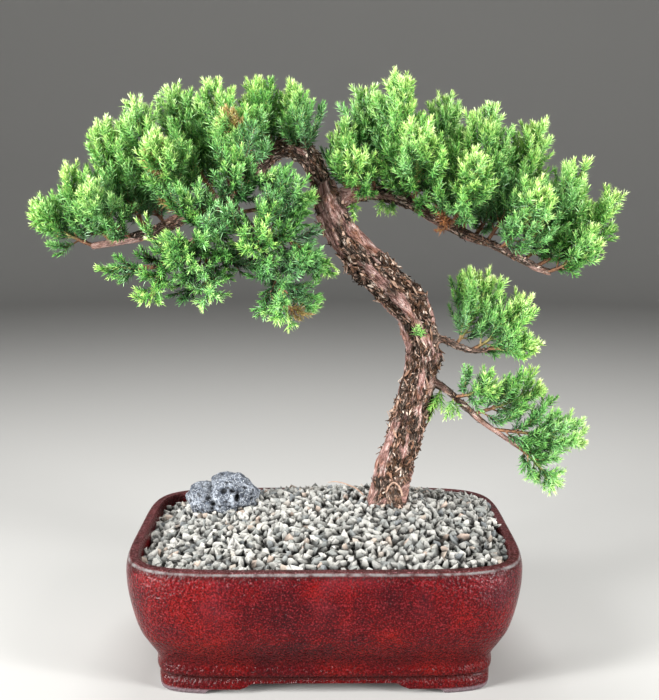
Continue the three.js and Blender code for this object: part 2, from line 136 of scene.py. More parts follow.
def named(tree, name):
    return addNode(tree, "GeometryNodeInputNamedAttribute", {"Name": name}, data_type="FLOAT").outputs[0]


# A number drawn for each point, with the group's seed and an offset that keeps the draws apart.
def drawn(tree, given, low, high, offset):
    inputs = {2: low, 3: high, "Seed": calc(tree, "ADD", given.outputs["Seed"], float(offset))}
    return addNode(tree, "FunctionNodeRandomValue", inputs, data_type="FLOAT").outputs[1]


def drawnVector(tree, low, high, seed):
    inputs = {0: low, 1: high, "Seed": seed}
    return addNode(tree, "FunctionNodeRandomValue", inputs, data_type="FLOAT_VECTOR").outputs[0]


def vectorOf(tree, x=0.0, y=0.0, z=0.0):
    return addNode(tree, "ShaderNodeCombineXYZ", {0: x, 1: y, 2: z}).outputs[0]


def scaled(tree, vector, factor):
    return addNode(tree, "ShaderNodeVectorMath", {0: vector, "Scale": factor}, operation="SCALE").outputs[0]


def positionParts(tree):
    place = addNode(tree, "GeometryNodeInputPosition").outputs[0]
    return addNode(tree, "ShaderNodeSeparateXYZ", {0: place}).outputs


def rotationOf(tree, x=0.0, y=0.0, z=0.0):
    return addNode(tree, "FunctionNodeEulerToRotation", {0: vectorOf(tree, x, y, z)}).outputs[0]


# A rotation followed by a turn about its own axes.
def turnedBy(tree, rotation, turn):
    inputs = {0: rotation, 1: turn}
    return addNode(tree, "FunctionNodeRotateRotation", inputs, rotation_space="LOCAL").outputs[0]


def isHigh(tree, value):
    return addNode(tree, "FunctionNodeCompare", {0: value, 1: 0.5}, operation="GREATER_THAN").outputs[0]


def stored(tree, shape, name, value, domain="POINT"):
    inputs = {"Geometry": shape, "Name": name, "Value": value}
    kind = "GeometryNodeStoreNamedAttribute"
    return addNode(tree, kind, inputs, data_type="FLOAT", domain=domain).outputs[0]


def moved(tree, shape, **places):
    return addNode(tree, "GeometryNodeSetPosition", {"Geometry": shape, **places}).outputs[0]


def flatShaded(tree, shape):
    return addNode(tree, "GeometryNodeSetShadeSmooth", {0: shape, "Shade Smooth": False}).outputs[0]


def withMaterial(tree, shape, material):
    return addNode(tree, "GeometryNodeSetMaterial", {"Geometry": shape, "Material": material}).outputs[0]


# Instances made real and joined to the shape that they stand on, as a group's result.
def finishGroup(tree, result, instances, ground):
    real = addNode(tree, "GeometryNodeRealizeInstances", {0: instances}).outputs[0]
    both = addNode(tree, "GeometryNodeJoinGeometry", {0: real})
    tree.links.new(ground, both.inputs[0])
    tree.links.new(both.outputs[0], result.inputs[0])


# Helpers for meshes

# A new object in the scene.
def addPiece(name, data):
    piece = bpy.data.objects.new(name, data)
    bpy.context.scene.collection.objects.link(piece)
    return piece


def shadeSmooth(piece):
    piece.data.polygons.foreach_set("use_smooth", [True] * len(piece.data.polygons))


def meshPiece(name, points, faces, materials=(), smooth=True):
    mesh = bpy.data.meshes.new(name)
    mesh.from_pydata([tuple(p) for p in points], [], [tuple(f) for f in faces])
    for material in materials:
        mesh.materials.append(material)
    mesh.polygons.foreach_set("use_smooth", [smooth] * len(mesh.polygons))
    mesh.update()
    return addPiece(name, mesh)


# The mesh that a piece's modifiers give, put in the piece in their place.
def applyModifiers(piece):
    bpy.context.view_layer.update()
    graph = bpy.context.evaluated_depsgraph_get()
    mesh = bpy.data.meshes.new_from_object(piece.evaluated_get(graph), depsgraph=graph)
    for slot in reversed(range(len(mesh.materials))):
        if mesh.materials[slot] is None:
            mesh.materials.pop(index=slot)
    piece.modifiers.clear()
    old = piece.data
    piece.data = mesh
    bpy.data.meshes.remove(old)
    mesh.name = piece.name
    return piece


def runNodes(piece, tree, values):
    modifier = piece.modifiers.new(tree.name, "NODES")
    modifier.node_group = tree
    sockets = {item.name: item.identifier for item in tree.interface.items_tree if item.in_out == "INPUT"}
    for name, value in values.items():
        modifier[sockets[name]] = value
    return applyModifiers(piece)


def pointsOf(piece):
    places = np.empty(len(piece.data.vertices) * 3)
    piece.data.vertices.foreach_get("co", places)
    return places.reshape(-1, 3)


def movePoints(piece, places):
    piece.data.vertices.foreach_set("co", places.ravel())
    piece.data.update()


def normalsOf(piece):
    normals = np.empty(len(piece.data.vertices) * 3)
    piece.data.vertex_normals.foreach_get("vector", normals)
    return normals.reshape(-1, 3)


def keepValues(piece, name, values):
    attribute = piece.data.attributes.new(name, "FLOAT", "POINT")
    attribute.data.foreach_set("value", np.asarray(values, np.float32))


# A closed skin over rings with the same number of points, with a fan at each end.
def loft(rings):
    rings = np.asarray(rings)
    rows, count = rings.shape[:2]
    points = np.vstack([rings.reshape(-1, 3), rings[0].mean(0), rings[-1].mean(0)])
    near = np.arange(count)
    following = (near + 1) % count
    faces = []
    for row in range(rows - 1):
        a, b = near + row * count, following + row * count
        faces += zip(a.tolist(), b.tolist(), (b + count).tolist(), (a + count).tolist())
    last = (rows - 1) * count
    foot, top = rows * count, rows * count + 1
    faces += [(foot, j, i) for i, j in zip(near.tolist(), following.tolist())]
    faces += [(top, last + i, last + j) for i, j in zip(near.tolist(), following.tolist())]
    return points, faces


def joinLofts(lofts):
    points, faces = [], []
    for loftPoints, loftFaces in lofts:
        faces += [tuple(i + len(points) for i in face) for face in loftFaces]
        points += loftPoints.tolist()
    return points, faces


def smoothStep(values, low, high):
    share = np.clip((values - low) / (high - low), 0, 1)
    return share * share * (3 - 2 * share)


# Helpers for curves

# A centripetal Catmull-Rom curve through points, at even steps of its length.
# The last number of a point is its radius.
def curveThrough(path, step):
    path = np.array(path, float)
    ends = np.vstack([2 * path[0] - path[1], path, 2 * path[-1] - path[-2]])
    pieces = []
    for i in range(1, len(ends) - 2):
        p = ends[i - 1:i + 3]
        knots = np.concatenate([[0], np.cumsum(np.linalg.norm(np.diff(p[:, :3], axis=0), axis=1) ** 0.5)])
        t = np.linspace(knots[1], knots[2], 24, endpoint=i == len(ends) - 3)[:, None]
        level = p
        for width in (1, 2):
            level = [
                ((knots[j + width] - t) * level[j] + (t - knots[j]) * level[j + 1])
                / (knots[j + width] - knots[j])
                for j in range(4 - width)
            ]
        pieces.append(((knots[2] - t) * level[0] + (t - knots[1]) * level[1]) / (knots[2] - knots[1]))
    dense = np.vstack(pieces)
    reach = np.concatenate([[0], np.cumsum(np.linalg.norm(np.diff(dense[:, :3], axis=0), axis=1))])
    count = max(2, round(reach[-1] / step) + 1)
    places = np.linspace(0, reach[-1], count)
    return np.array([np.interp(places, reach, dense[:, k]) for k in range(dense.shape[1])]).T


# The direction, side and up of each point of a line, turning as little as they can.
def framesAlong(points):
    ahead = np.gradient(points[:, :3], axis=0)
    ahead /= np.linalg.norm(ahead, axis=1)[:, None]
    side = np.array([0, 0, 1.0]) if abs(ahead[0][2]) < 0.9 else np.array([0, 1.0, 0])
    sides = []
    for direction in ahead:
        side = side - direction * side.dot(direction)
        side = side / np.linalg.norm(side)
        sides.append(side)
    sides = np.array(sides)
    return ahead, sides, np.cross(ahead, sides)


# Stage: camera, lights and a pale floor that curves up into a wall all round

stage = {
    "cameraPlace": (-0.003, -0.7811, 0.3366),
    "cameraTarget": (0.0038, 0.0, 0.2185),
    "lens": 57.7,
    "floorCentre": 0.8,
    "floorReach": 2.4,
    "sweepRadius": 1.3,
    "sides": 96,
    "sky": ("f2f4f6", 0.09),
    # place, width, height, power
    "softboxes": [
        ((-1.05, -0.78, 0.7), 0.3, 1.0, 44.0),
        ((1.05, -0.8, 0.62), 0.22, 1.05, 27.0),
        ((-0.98, -0.5, 0.24), 0.05, 0.34, 15.0),
        ((0.98, -0.52, 0.24), 0.045, 0.3, 11.0),
        ((0.05, 0.55, 1.45), 0.8, 0.8, 20.0),
    ],
}


def makeFloor(settings):
    arc = np.linspace(0, math.pi / 2, 13)
    reach = settings["floorReach"] + settings["sweepRadius"] * np.sin(arc)
    height = settings["sweepRadius"] * (1 - np.cos(arc))
    turns = np.linspace(0, 2 * math.pi, settings["sides"], endpoint=False)
    profile = zip([settings["floorCentre"], *reach, reach[-1]], [0.0, *height, 2 * height[-1]])
    circle = np.column_stack([np.cos(turns), np.sin(turns), 0 * turns])
    rings = [circle * r + [0, 0, z] for r, z in profile]
    near = np.arange(len(turns))
    following = (near + 1) % len(turns)
    faces = [tuple(near.tolist())]
    for row in range(len(rings) - 1):
        a, b = near + row * len(turns), following + row * len(turns)
        faces += zip(a.tolist(), (a + len(turns)).tolist(), (b + len(turns)).tolist(), b.tolist())
    material, tree, shader = newMaterial("pale floor")
    setSurface(tree, shader, paint("a5a4a1"), 0.75)
    meshPiece("floor", np.vstack(rings), faces, [material])


def turnTo(piece, target):
    piece.rotation_euler = (target - piece.location).to_track_quat("-Z", "Y").to_euler()


def makeStage(settings):
    target = Vector(settings["cameraTarget"])
    camera = addPiece("camera", bpy.data.cameras.new("camera"))
    camera.data.lens = settings["lens"]
    camera.data.sensor_width = 36
    camera.location = settings["cameraPlace"]
    turnTo(camera, target)
    bpy.context.scene.camera = camera

    for number, (place, width, height, power) in enumerate(settings["softboxes"]):
        light = bpy.data.lights.new(f"softbox {number}", "AREA")
        light.shape = "RECTANGLE"
        light.size = width
        light.size_y = height
        light.energy = power
        lamp = addPiece(light.name, light)
        lamp.location = place
        turnTo(lamp, target)

    world = bpy.data.worlds.new("studio")
    world.use_nodes = True
    code, strength = settings["sky"]
    background = world.node_tree.nodes["Background"]
    background.inputs["Color"].default_value = paint(code)
    background.inputs["Strength"].default_value = strength
    bpy.context.scene.world = world

    bpy.context.scene.view_settings.view_transform = "Standard"


makeStage(stage)
makeFloor(stage)
print("stage set")


# Shared surface effects

# Soft cloudy patches, as a mask from 0 to 1.
def makeClouds():
    inputs = [("Place", "Vector", None), ("Scale", "Float", 20.0),
              ("Low", "Float", 0.4), ("High", "Float", 0.6)]
    tree, given, result = makeGroup("clouds", "ShaderNodeTree", inputs, [("Mask", "Float")])
    inputs = {"Vector": given.outputs["Place"], "Scale": given.outputs["Scale"], "Detail": 5.0}
    cloud = addNode(tree, "ShaderNodeTexNoise", inputs).outputs[0]
    mask = ranged(tree, cloud, given.outputs["Low"], given.outputs["High"])
    tree.links.new(mask, result.inputs["Mask"])
    return tree


# Small round specks, as a mask from 0 to 1.
def makeSpecks():
    inputs = [("Place", "Vector", None), ("Scale", "Float", 800.0),
              ("Size", "Float", 0.25)]
    tree, given, result = makeGroup("specks", "ShaderNodeTree", inputs, [("Mask", "Float")])
    inputs = {"Vector": given.outputs["Place"], "Scale": given.outputs["Scale"]}
    distance = addNode(tree, "ShaderNodeTexVoronoi", inputs).outputs["Distance"]
    inner = calc(tree, "MULTIPLY", given.outputs["Size"], 0.6)
    mask = ranged(tree, distance, inner, given.outputs["Size"], 1.0, 0.0)
    tree.links.new(mask, result.inputs["Mask"])
    return tree


clouds = makeClouds()
specks = makeSpecks()


def cloudMask(tree, place, scale, low, high):
    inputs = {"Place": place, "Scale": scale, "Low": low, "High": high}
    return addNode(tree, "ShaderNodeGroup", inputs, node_tree=clouds).outputs["Mask"]


def speckMask(tree, place, scale, size):
    inputs = {"Place": place, "Scale": scale, "Size": size}
    return addNode(tree, "ShaderNodeGroup", inputs, node_tree=specks).outputs["Mask"]


def setRelief(tree, shader, height, distance, strength=1.0):
    bump = addNode(tree, "ShaderNodeBump", {"Height": height, "Distance": distance, "Strength": strength})
    tree.links.new(bump.outputs[0], shader.inputs["Normal"])


# Pot

pot = {
    "length": 268,
    "depth": 205,
    "squareness": 5.4,
    "segments": 192,
    "profileStep": 1.6,
    # [inset from the rim, height], from the foot up over the lip and down to the floor inside
    "outside": [
        [22.5, 0], [21.6, 0.5], [21, 2], [20.9, 5], [21, 8.5], [22.3, 10.3], [22.4, 11.3], [20.6, 12.6],
        [19.6, 14], [19.3, 16], [19.7, 18.5], [20, 20.5], [19.2, 23], [17.6, 26.2], [13.2, 32.5], [8, 41],
        [3, 57], [0.6, 70], [0.1, 77], [0, 81], [0.4, 85], [1.1, 88], [1.9, 90], [3, 91],
    ],
    "inside": [[8, 91], [9, 90.2], [9.5, 88.5], [10.4, 80], [12, 60], [17.5, 36], [26.5, 18]],
    "archFront": {"hollow": 47, "step": 55, "feet": 80},
    "archSide": {"hollow": 24, "step": 30, "feet": 50},
    "footStep": 3.8,
    "underside": 8.2,
    "drainRadius": 9,
    "drainSides": 48,
    "drainApart": 92,
    "drainCut": (-5, 40),
    "lipHeights": (88.2, 90.4),  # where the lip's colour begins and where it is full
    "creaseAngle": 38,
}


# Points of the rim's outline, drawn in by insets at right angles to it.
def potRing(settings, inset, z, turns):
    power = settings["squareness"]
    half = np.array([settings["length"], settings["depth"]]) / 2
    unit = np.stack([np.cos(turns), np.sin(turns)], 1)
    rim = np.sign(unit) * np.abs(unit) ** (2 / power) * half
    out = np.sign(rim) * np.abs(rim / half) ** (power - 1) / half
    out /= np.linalg.norm(out, axis=1)[:, None]
    flat = rim - out * np.reshape(inset, (-1, 1))
    return np.column_stack([flat, np.broadcast_to(z, len(flat))])


# Turns spaced so that the rim's points lie evenly along it.
def evenTurns(settings):
    fine = np.linspace(0, 2 * np.pi, 8001)
    rim = potRing(settings, 0, 0, fine)[:, :2]
    reach = np.concatenate([[0], np.cumsum(np.linalg.norm(np.diff(rim, axis=0), axis=1))])
    places = np.linspace(0, reach[-1], settings["segments"], endpoint=False)
    return np.interp(places, reach, fine)


# A prism along Y, or along X when it is turned, with the outline of the hollow between the feet.
def archCutter(settings, sizes, turned):
    low, high = settings["footStep"], settings["underside"]
    right = [(sizes["feet"] + 1, -2), (sizes["feet"], -1), (sizes["feet"] - 1.4, low - 1.8),
             (sizes["feet"] - 3, low - 0.6), (sizes["feet"] - 6, low), (sizes["step"] + 1, low + 0.2),
             (sizes["hollow"] + 4, high - 2), (sizes["hollow"] + 1.6, high - 0.5),
             (sizes["hollow"] - 1, high)]
    outline = right + [(-x, z) for x, z in reversed(right)]
    reach = settings["length"]
    ends = [[(x, side * reach, z) for x, z in outline] for side in (-1, 1)]
    if turned:
        ends = [[(y, -x, z) for x, y, z in end] for end in ends]
    return meshPiece("arch cutter", *loft(np.array(ends) * mm))


def drainCutter(settings, side):
    turns = np.linspace(0, 2 * np.pi, settings["drainSides"], endpoint=False)
    circle = settings["drainRadius"] * np.column_stack([np.cos(turns), np.sin(turns), 0 * turns])
    circle[:, 0] += side * settings["drainApart"] / 2
    rings = [circle + [0, 0, z] for z in settings["drainCut"]]
    return meshPiece("drain cutter", *loft(np.array(rings) * mm))


def outwards(piece):
    shape = bmesh.new()
    shape.from_mesh(piece.data)
    bmesh.ops.recalc_face_normals(shape, faces=shape.faces)
    shape.to_mesh(piece.data)
    shape.free()


def glazeFinish():
    material, tree, shader = newMaterial("red glaze")
    place = placeOf(tree)
    height = addNode(tree, "ShaderNodeSeparateXYZ", {0: place}).outputs[2]
    patches = cloudMask(tree, place, 19.0, 0.36, 0.64)
    blotches = cloudMask(tree, place, 75.0, 0.35, 0.7)
    low = ranged(tree, height, 0.07, 0.03)
    bright = calc(tree, "MULTIPLY_ADD", patches, 0.5, calc(tree, "MULTIPLY", low, 0.2))
    bright = calc(tree, "MULTIPLY_ADD", blotches, 0.22, bright)
    colour = rampOf(tree, bright, [(0.0, "300509"), (0.3, "42060a"), (0.6, "580809"), (0.85, "6a0d08")])
    grain = addNode(tree, "ShaderNodeTexNoise", {"Vector": place, "Scale": 850.0, "Detail": 2.0}).outputs[0]
    darkGrain = ranged(tree, grain, 0.52, 0.4)
    colour = layOver(tree, colour, darkGrain, 0.72, "180406")
    lightGrain = ranged(tree, grain, 0.56, 0.68)
    colour = layOver(tree, colour, lightGrain, 0.26, "983840")
    # painted shade: the glaze darker towards the foot, where less light falls
    colour = layOver(tree, colour, ranged(tree, height, 0.05, 0.024), 0.45, "240101")
    mist = cloudMask(tree, place, 33.0, 0.52, 0.7)
    haze = calc(tree, "MULTIPLY", mist, ranged(tree, height, 0.04, 0.085))
    colour = layOver(tree, colour, haze, 0.26, "6b3038")
    grooveTop = ranged(tree, height, 0.0145, 0.0125)
    groove = calc(tree, "MULTIPLY", ranged(tree, height, 0.0085, 0.0105), grooveTop)
    underLip = calc(tree, "MULTIPLY", ranged(tree, height, 0.0855, 0.0875), 0.6)
    shadow = calc(tree, "MAXIMUM", calc(tree, "MULTIPLY", groove, 0.65), underLip)
    colour = blendColour(tree, shadow, colour, paint("2a100f"))
    lip = attributeOf(tree, "lip")
    # a grey line along the rim's outer edge: partly wear of the glaze, partly a painted highlight
    onEdge = ranged(tree, attributeOf(tree, "inset"), 2.7, 2.1)
    rimWearAndHighlight = calc(tree, "MULTIPLY", onEdge, ranged(tree, height, 0.0884, 0.0894))
    streaks = cloudMask(tree, place, 170.0, 0.3, 0.7)
    lipColour = blendColour(tree, streaks, paint("2c0d0c"), paint("4e2222"))
    lipColour = layOver(tree, lipColour, lightGrain, 0.5, "93676c")
    colour = blendColour(tree, calc(tree, "MULTIPLY", lip, 0.9), colour, lipColour)
    wearAndHighlightMask = calc(tree, "MULTIPLY", rimWearAndHighlight, ranged(tree, streaks, 0.1, 0.7, 0.15, 1.0))
    colour = layOver(tree, colour, wearAndHighlightMask, 0.7, "747675")
    bare = ranged(tree, height, 0.0042, 0.0028)
    colour = blendColour(tree, bare, colour, paint("5c4e52"))
    rough = calc(tree, "MULTIPLY", darkGrain, 0.12)
    for mask, share in ((wearAndHighlightMask, 0.3), (bare, 0.5), (lip, 0.25)):
        rough = calc(tree, "MULTIPLY_ADD", mask, share, rough)
    setSurface(tree, shader, colour, calc(tree, "ADD", rough, 0.13), 0.12)
    peel = addNode(tree, "ShaderNodeTexNoise", {"Vector": place, "Scale": 460.0, "Detail": 2.0}).outputs[0]
    setRelief(tree, shader, peel, 0.0015)
    return material


def makePot(settings):
    turns = evenTurns(settings)
    outside = curveThrough([[inset, 0, z, 0] for inset, z in settings["outside"]], settings["profileStep"])
    inside = curveThrough([[inset, 0, z, 0] for inset, z in settings["inside"]], 2 * settings["profileStep"])
    rings = [potRing(settings, inset, z, turns) * mm for inset, _, z, _ in np.vstack([outside, inside])]
    points, faces = loft(rings)
    piece = meshPiece("glazed_pot", points, faces)
    cutters = [archCutter(settings, settings["archFront"], False)]
    cutters.append(archCutter(settings, settings["archSide"], True))
    cutters += [drainCutter(settings, side) for side in (-1, 1)]
    for cutter in cutters:
        outwards(cutter)
        cut = piece.modifiers.new("cut", "BOOLEAN")
        cut.object = cutter
        cut.operation = "DIFFERENCE"
        cut.solver = "EXACT"
    outwards(piece)
    applyModifiers(piece)
    for cutter in cutters:
        bpy.data.objects.remove(cutter)

    places = pointsOf(piece) / mm
    half = np.array([settings["length"], settings["depth"]]) / 2
    power = settings["squareness"]
    shares = np.sum(np.abs(places[:, :2] / half) ** power, axis=1) ** (1 / power)
    keepValues(piece, "lip", smoothStep(places[:, 2], *settings["lipHeights"]))
    keepValues(piece, "inset", (1 - shares) * np.linalg.norm(places[:, :2], axis=1))
    piece.data.materials.clear()
    piece.data.materials.append(glazeFinish())
    shadeSmooth(piece)
    piece.data.set_sharp_from_angle(angle=math.radians(settings["creaseAngle"]))
    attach(piece, "root")
    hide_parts("pot")


makePot(pot)
print("pot made")


# Gravel, soil and netting

gravel = {
    "edge": 85,
    "rise": 17.5,
    "crest": (30, 38),
    "inset": 12.6,
    "sunk": 3.2,  # how far the bed lies under the tops of its stones
    "cell": 3.0,
    "lightDepth": 1.6,  # painted shade darkens the stones between these two depths
    "darkDepth": 3.6,
    "depth": 6,
    "rings": 26,
    "spacing": 0.0049,
    "stoneSize": 0.0084,
    "seed": 4,
    "steepness": (2.6, 2.2),  # of the mound, across and along
    "stoneShapes": 9,
    "cornerShift": 0.24,
    "mostPerSquareMetre": 260000.0,
    "layers": [(0.0002, 1.0), (0.002, 0.84), (0.0034, 0.66)],  # lift over the bed, size
    "layerSpread": 0.3,  # how much wider apart each layer's stones lie
    "flattest": (0.8, 0.62, 0.42),
    "roundest": (1.5, 1.05, 0.78),
}


# Height of the gravel's mound, in millimetres.
def moundAt(x, y):
    crestX, crestY = gravel["crest"]
    halfLength, halfDepth = pot["length"] / 2, pot["depth"] / 2
    across = (x - crestX * (1 - np.abs(x) / pot["length"])) / halfLength
    along = (y - crestY) / np.where(y > crestY, halfDepth - crestY, halfDepth + crestY)
    steepAcross, steepAlong = gravel["steepness"]
    fall = np.minimum(1, np.abs(across) ** steepAcross + np.abs(along) ** steepAlong)
    return gravel["edge"] + gravel["rise"] * (1 - fall)


# Crushed stones of a few shapes, strewn in layers over the top of the bed.
def stoneBedTree(settings):
    inputs = [("Bed", "Geometry", None), ("Spacing", "Float", 0.005), ("Stone Size", "Float", 0.007),
              ("Seed", "Int", 0), ("Stone Finish", "Material", None)]
    tree, given, result = makeGroup("stone bed", "GeometryNodeTree", inputs, [("Stones", "Geometry")])
    shapes = addNode(tree, "GeometryNodeJoinGeometry")
    shift = settings["cornerShift"]
    for variant in range(settings["stoneShapes"]):
        ball = addNode(tree, "GeometryNodeMeshIcoSphere", {"Radius": 0.5, "Subdivisions": 1})
        jitter = drawnVector(tree, (-shift,) * 3, (shift,) * 3, variant)
        uneven = moved(tree, ball.outputs["Mesh"], Offset=jitter)
        hull = addNode(tree, "GeometryNodeConvexHull", {0: uneven}).outputs[0]
        stone = withMaterial(tree, flatShaded(tree, hull), given.outputs["Stone Finish"])
        single = addNode(tree, "GeometryNodeGeometryToInstance", {0: stone})
        tree.links.new(single.outputs[0], shapes.inputs[0])
    isTop = isHigh(tree, named(tree, "top"))
    layers = addNode(tree, "GeometryNodeJoinGeometry")
    for layer, (lift, size) in enumerate(settings["layers"]):
        spread = addNode(tree, "GeometryNodeDistributePointsOnFaces", {
            "Mesh": given.outputs["Bed"], "Selection": isTop, "Density Max": settings["mostPerSquareMetre"],
            "Seed": calc(tree, "ADD", given.outputs["Seed"], layer * 11.0)}, distribute_method="POISSON")
        gap = calc(tree, "MULTIPLY", given.outputs["Spacing"], 1.0 + settings["layerSpread"] * layer)
        tree.links.new(gap, spread.inputs["Distance Min"])
        raised = moved(tree, spread.outputs[0], Offset=scaled(tree, spread.outputs["Normal"], lift))
        turn = drawnVector(tree, (0, 0, 0), (2 * math.pi,) * 3, layer + 20)
        shape = drawnVector(tree, settings["flattest"], settings["roundest"], layer + 40)
        scale = scaled(tree, shape, calc(tree, "MULTIPLY", given.outputs["Stone Size"], size))
        inputs = {4: 0, 5: settings["stoneShapes"] - 1, "Seed": layer + 60}
        choice = addNode(tree, "FunctionNodeRandomValue", inputs, data_type="INT")
        stones = addNode(tree, "GeometryNodeInstanceOnPoints", {
            "Points": raised, "Instance": shapes.outputs[0], "Pick Instance": True,
            "Instance Index": choice.outputs[2], "Rotation": turn, "Scale": scale})
        tree.links.new(stones.outputs[0], layers.inputs[0])
    tint = addNode(tree, "FunctionNodeRandomValue", {2: 0.0, 3: 1.0, "Seed": 80}, data_type="FLOAT")
    stones = stored(tree, layers.outputs[0], "tint", tint.outputs[1], "INSTANCE")
    finishGroup(tree, result, stones, given.outputs["Bed"])
    return tree


def gravelFinish():
    material, tree, shader = newMaterial("grey gravel")
    place = placeOf(tree)
    tint = attributeOf(tree, "tint")
    colour = rampOf(tree, tint, [
        (0.0, "70767c"), (0.06, "868a89"), (0.3, "9e9e9a"), (0.6, "b4b3ae"), (0.93, "cccac4"),
        (0.96, "b2a497"), (1.0, "bba597")])
    stain = cloudMask(tree, place, 240.0, 0.4, 0.7)
    colour = layOver(tree, colour, stain, 0.22, "8d8878")
    grain = cloudMask(tree, place, 1100.0, 0.3, 0.7)
    colour = layOver(tree, colour, grain, 0.34, "74726a")
    pale = speckMask(tree, place, 1400.0, 0.3)
    colour = layOver(tree, colour, pale, 0.3, "d6d3cb")
    # painted shade on the stones that lie sunken in the gaps between their neighbours
    colour = layOver(tree, colour, attributeOf(tree, "sunken"), 0.95, "1d1b19")
    setSurface(tree, shader, colour, 0.9, 0.2)
    setRelief(tree, shader, grain, 0.0005, 0.9)
    return material


def earthFinish(name, dark, light):
    material, tree, shader = newMaterial(name)
    place = placeOf(tree)
    grit = cloudMask(tree, place, 420.0, 0.35, 0.65)
    setSurface(tree, shader, blendColour(tree, grit, paint(dark), paint(light)), 1.0)
    setRelief(tree, shader, grit, 0.001)
    return material


def nettingFinish():
    material, tree, shader = newMaterial("dark netting")
    place = placeOf(tree)
    dust = cloudMask(tree, place, 260.0, 0.4, 0.7)
    colour = blendColour(tree, dust, paint("1d2023"), paint("3a3733"))
    setSurface(tree, shader, colour, ranged(tree, dust, 0.0, 1.0, 0.45, 0.8))
    setRelief(tree, shader, dust, 0.0002)
    return material


# How far each point lies in a gap between the stones around it, from 0 to 1, which sets the painted shade.
def sunkenShares(places, settings):
    cells = ((places[:, :2] - places[:, :2].min(0)) / settings["cell"]).astype(int) + 1
    tops = np.full(cells.max(0) + 2, -np.inf)
    np.maximum.at(tops, tuple(cells.T), places[:, 2])
    around = [np.roll(tops, step, axis=(0, 1)) for step in [(0, 0), (0, 1), (0, -1), (1, 0), (-1, 0)]]
    under = np.max(around, axis=0)[tuple(cells.T)] - places[:, 2]
    return smoothStep(under, settings["lightDepth"], settings["darkDepth"])


def makeGravel(settings):
    turns = evenTurns(pot)
    tops, lows = [], []
    for share in np.linspace(1, 0.03, settings["rings"]):
        ring = potRing(pot, settings["inset"], 0, turns) * [share, share, 1]
        height = moundAt(ring[:, 0], ring[:, 1]) - settings["sunk"]
        tops.append(np.column_stack([ring[:, :2], height]))
        lows.append(np.column_stack([ring[:, :2], height - settings["depth"]]))
    rings = np.array(lows[::-1] + tops) * mm
    points, faces = loft(rings)
    # the bed shows only in the gaps between the stones, painted near black as their shade
    piece = meshPiece("gravel_bed", points, faces, [earthFinish("painted shade between stones", "1b1917", "3d3a36")])
    outwards(piece)
    top = np.zeros(len(points))
    top[len(lows) * len(turns):-2] = 1
    top[-1] = 1
    keepValues(piece, "top", top)
    runNodes(piece, stoneBedTree(settings), {
        "Spacing": settings["spacing"], "Stone Size": settings["stoneSize"], "Seed": settings["seed"],
        "Stone Finish": gravelFinish()})
    keepValues(piece, "sunken", sunkenShares(pointsOf(piece) / mm, settings))
    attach(piece, "root")
    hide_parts("gravel")
    print("gravel triangles", len(piece.data.polygons))


makeGravel(gravel)

netting = nettingFinish()
for name, finish in {
    "soil": earthFinish("potting soil", "1f1611", "4a3a2c"),
    "drain_screen_left": netting,
    "drain_screen_right": netting,
}.items():
    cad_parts[name].data.materials.clear()
    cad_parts[name].data.materials.append(finish)
print("gravel, soil and netting made")


# Lava stone

lavaStone = {
    "centre": (-74, 36, 102),
    "size": (56, 42, 34),
    "detail": 6,
    # pits to a metre, depth in mm, size of a pit in its cell
    "pitRows": [(110, 1.2, 0.34), (230, 0.45, 0.36)],
    # direction from the centre, radius and depth in mm
    "hollows": [
        ((0.2, -0.75, 0.52), 2.7, 4.4), ((0.5, -0.55, 0.6), 2.2, 3.8), ((0.38, -0.85, 0.25), 2.3, 3.8),
        ((-0.6, -0.75, -0.2), 2.2, 3.4), ((0.1, -0.95, 0.1), 1.5, 2.8), ((0.74, -0.6, 0.1), 1.9, 3.0),
        ((-0.3, -0.6, 0.68), 1.3, 1.8), ((-0.2, 0.8, 0.5), 2.0, 3.0), ((0.6, 0.7, 0.3), 1.7, 2.6),
    ],
    # across the stone's left side: depth, place, slant, width, and the width of its line of painted shade
    "groove": (0.2, 0.33, 0.16, 0.12, 0.07),
    "base": (-0.55, 0.2),  # under this height the stone is pressed flat to this share
    "pitShare": -0.1,  # the lower, the more cells of a row hold a pit
}


def lavaFinish():
    material, tree, shader = newMaterial("grey lava")
    place = placeOf(tree)
    pit = attributeOf(tree, "pit")
    shade = cloudMask(tree, place, 130.0, 0.35, 0.65)
    colour = blendColour(tree, shade, paint("454b55"), paint("959ba3"))
    darkGrain = cloudMask(tree, place, 560.0, 0.47, 0.6)
    colour = layOver(tree, colour, darkGrain, 0.75, "2c3038")
    glints = speckMask(tree, place, 760.0, 0.34)
    colour = layOver(tree, colour, glints, 0.55, "edf1f5")
    # painted shade, near black, in the pits, the hollows and along the groove
    colour = layOver(tree, colour, pit, 0.95, "0c0d10")
    setSurface(tree, shader, colour, 0.6, 0.2)
    relief = calc(tree, "SUBTRACT", glints, darkGrain)
    setRelief(tree, shader, relief, 0.0006)
    return material


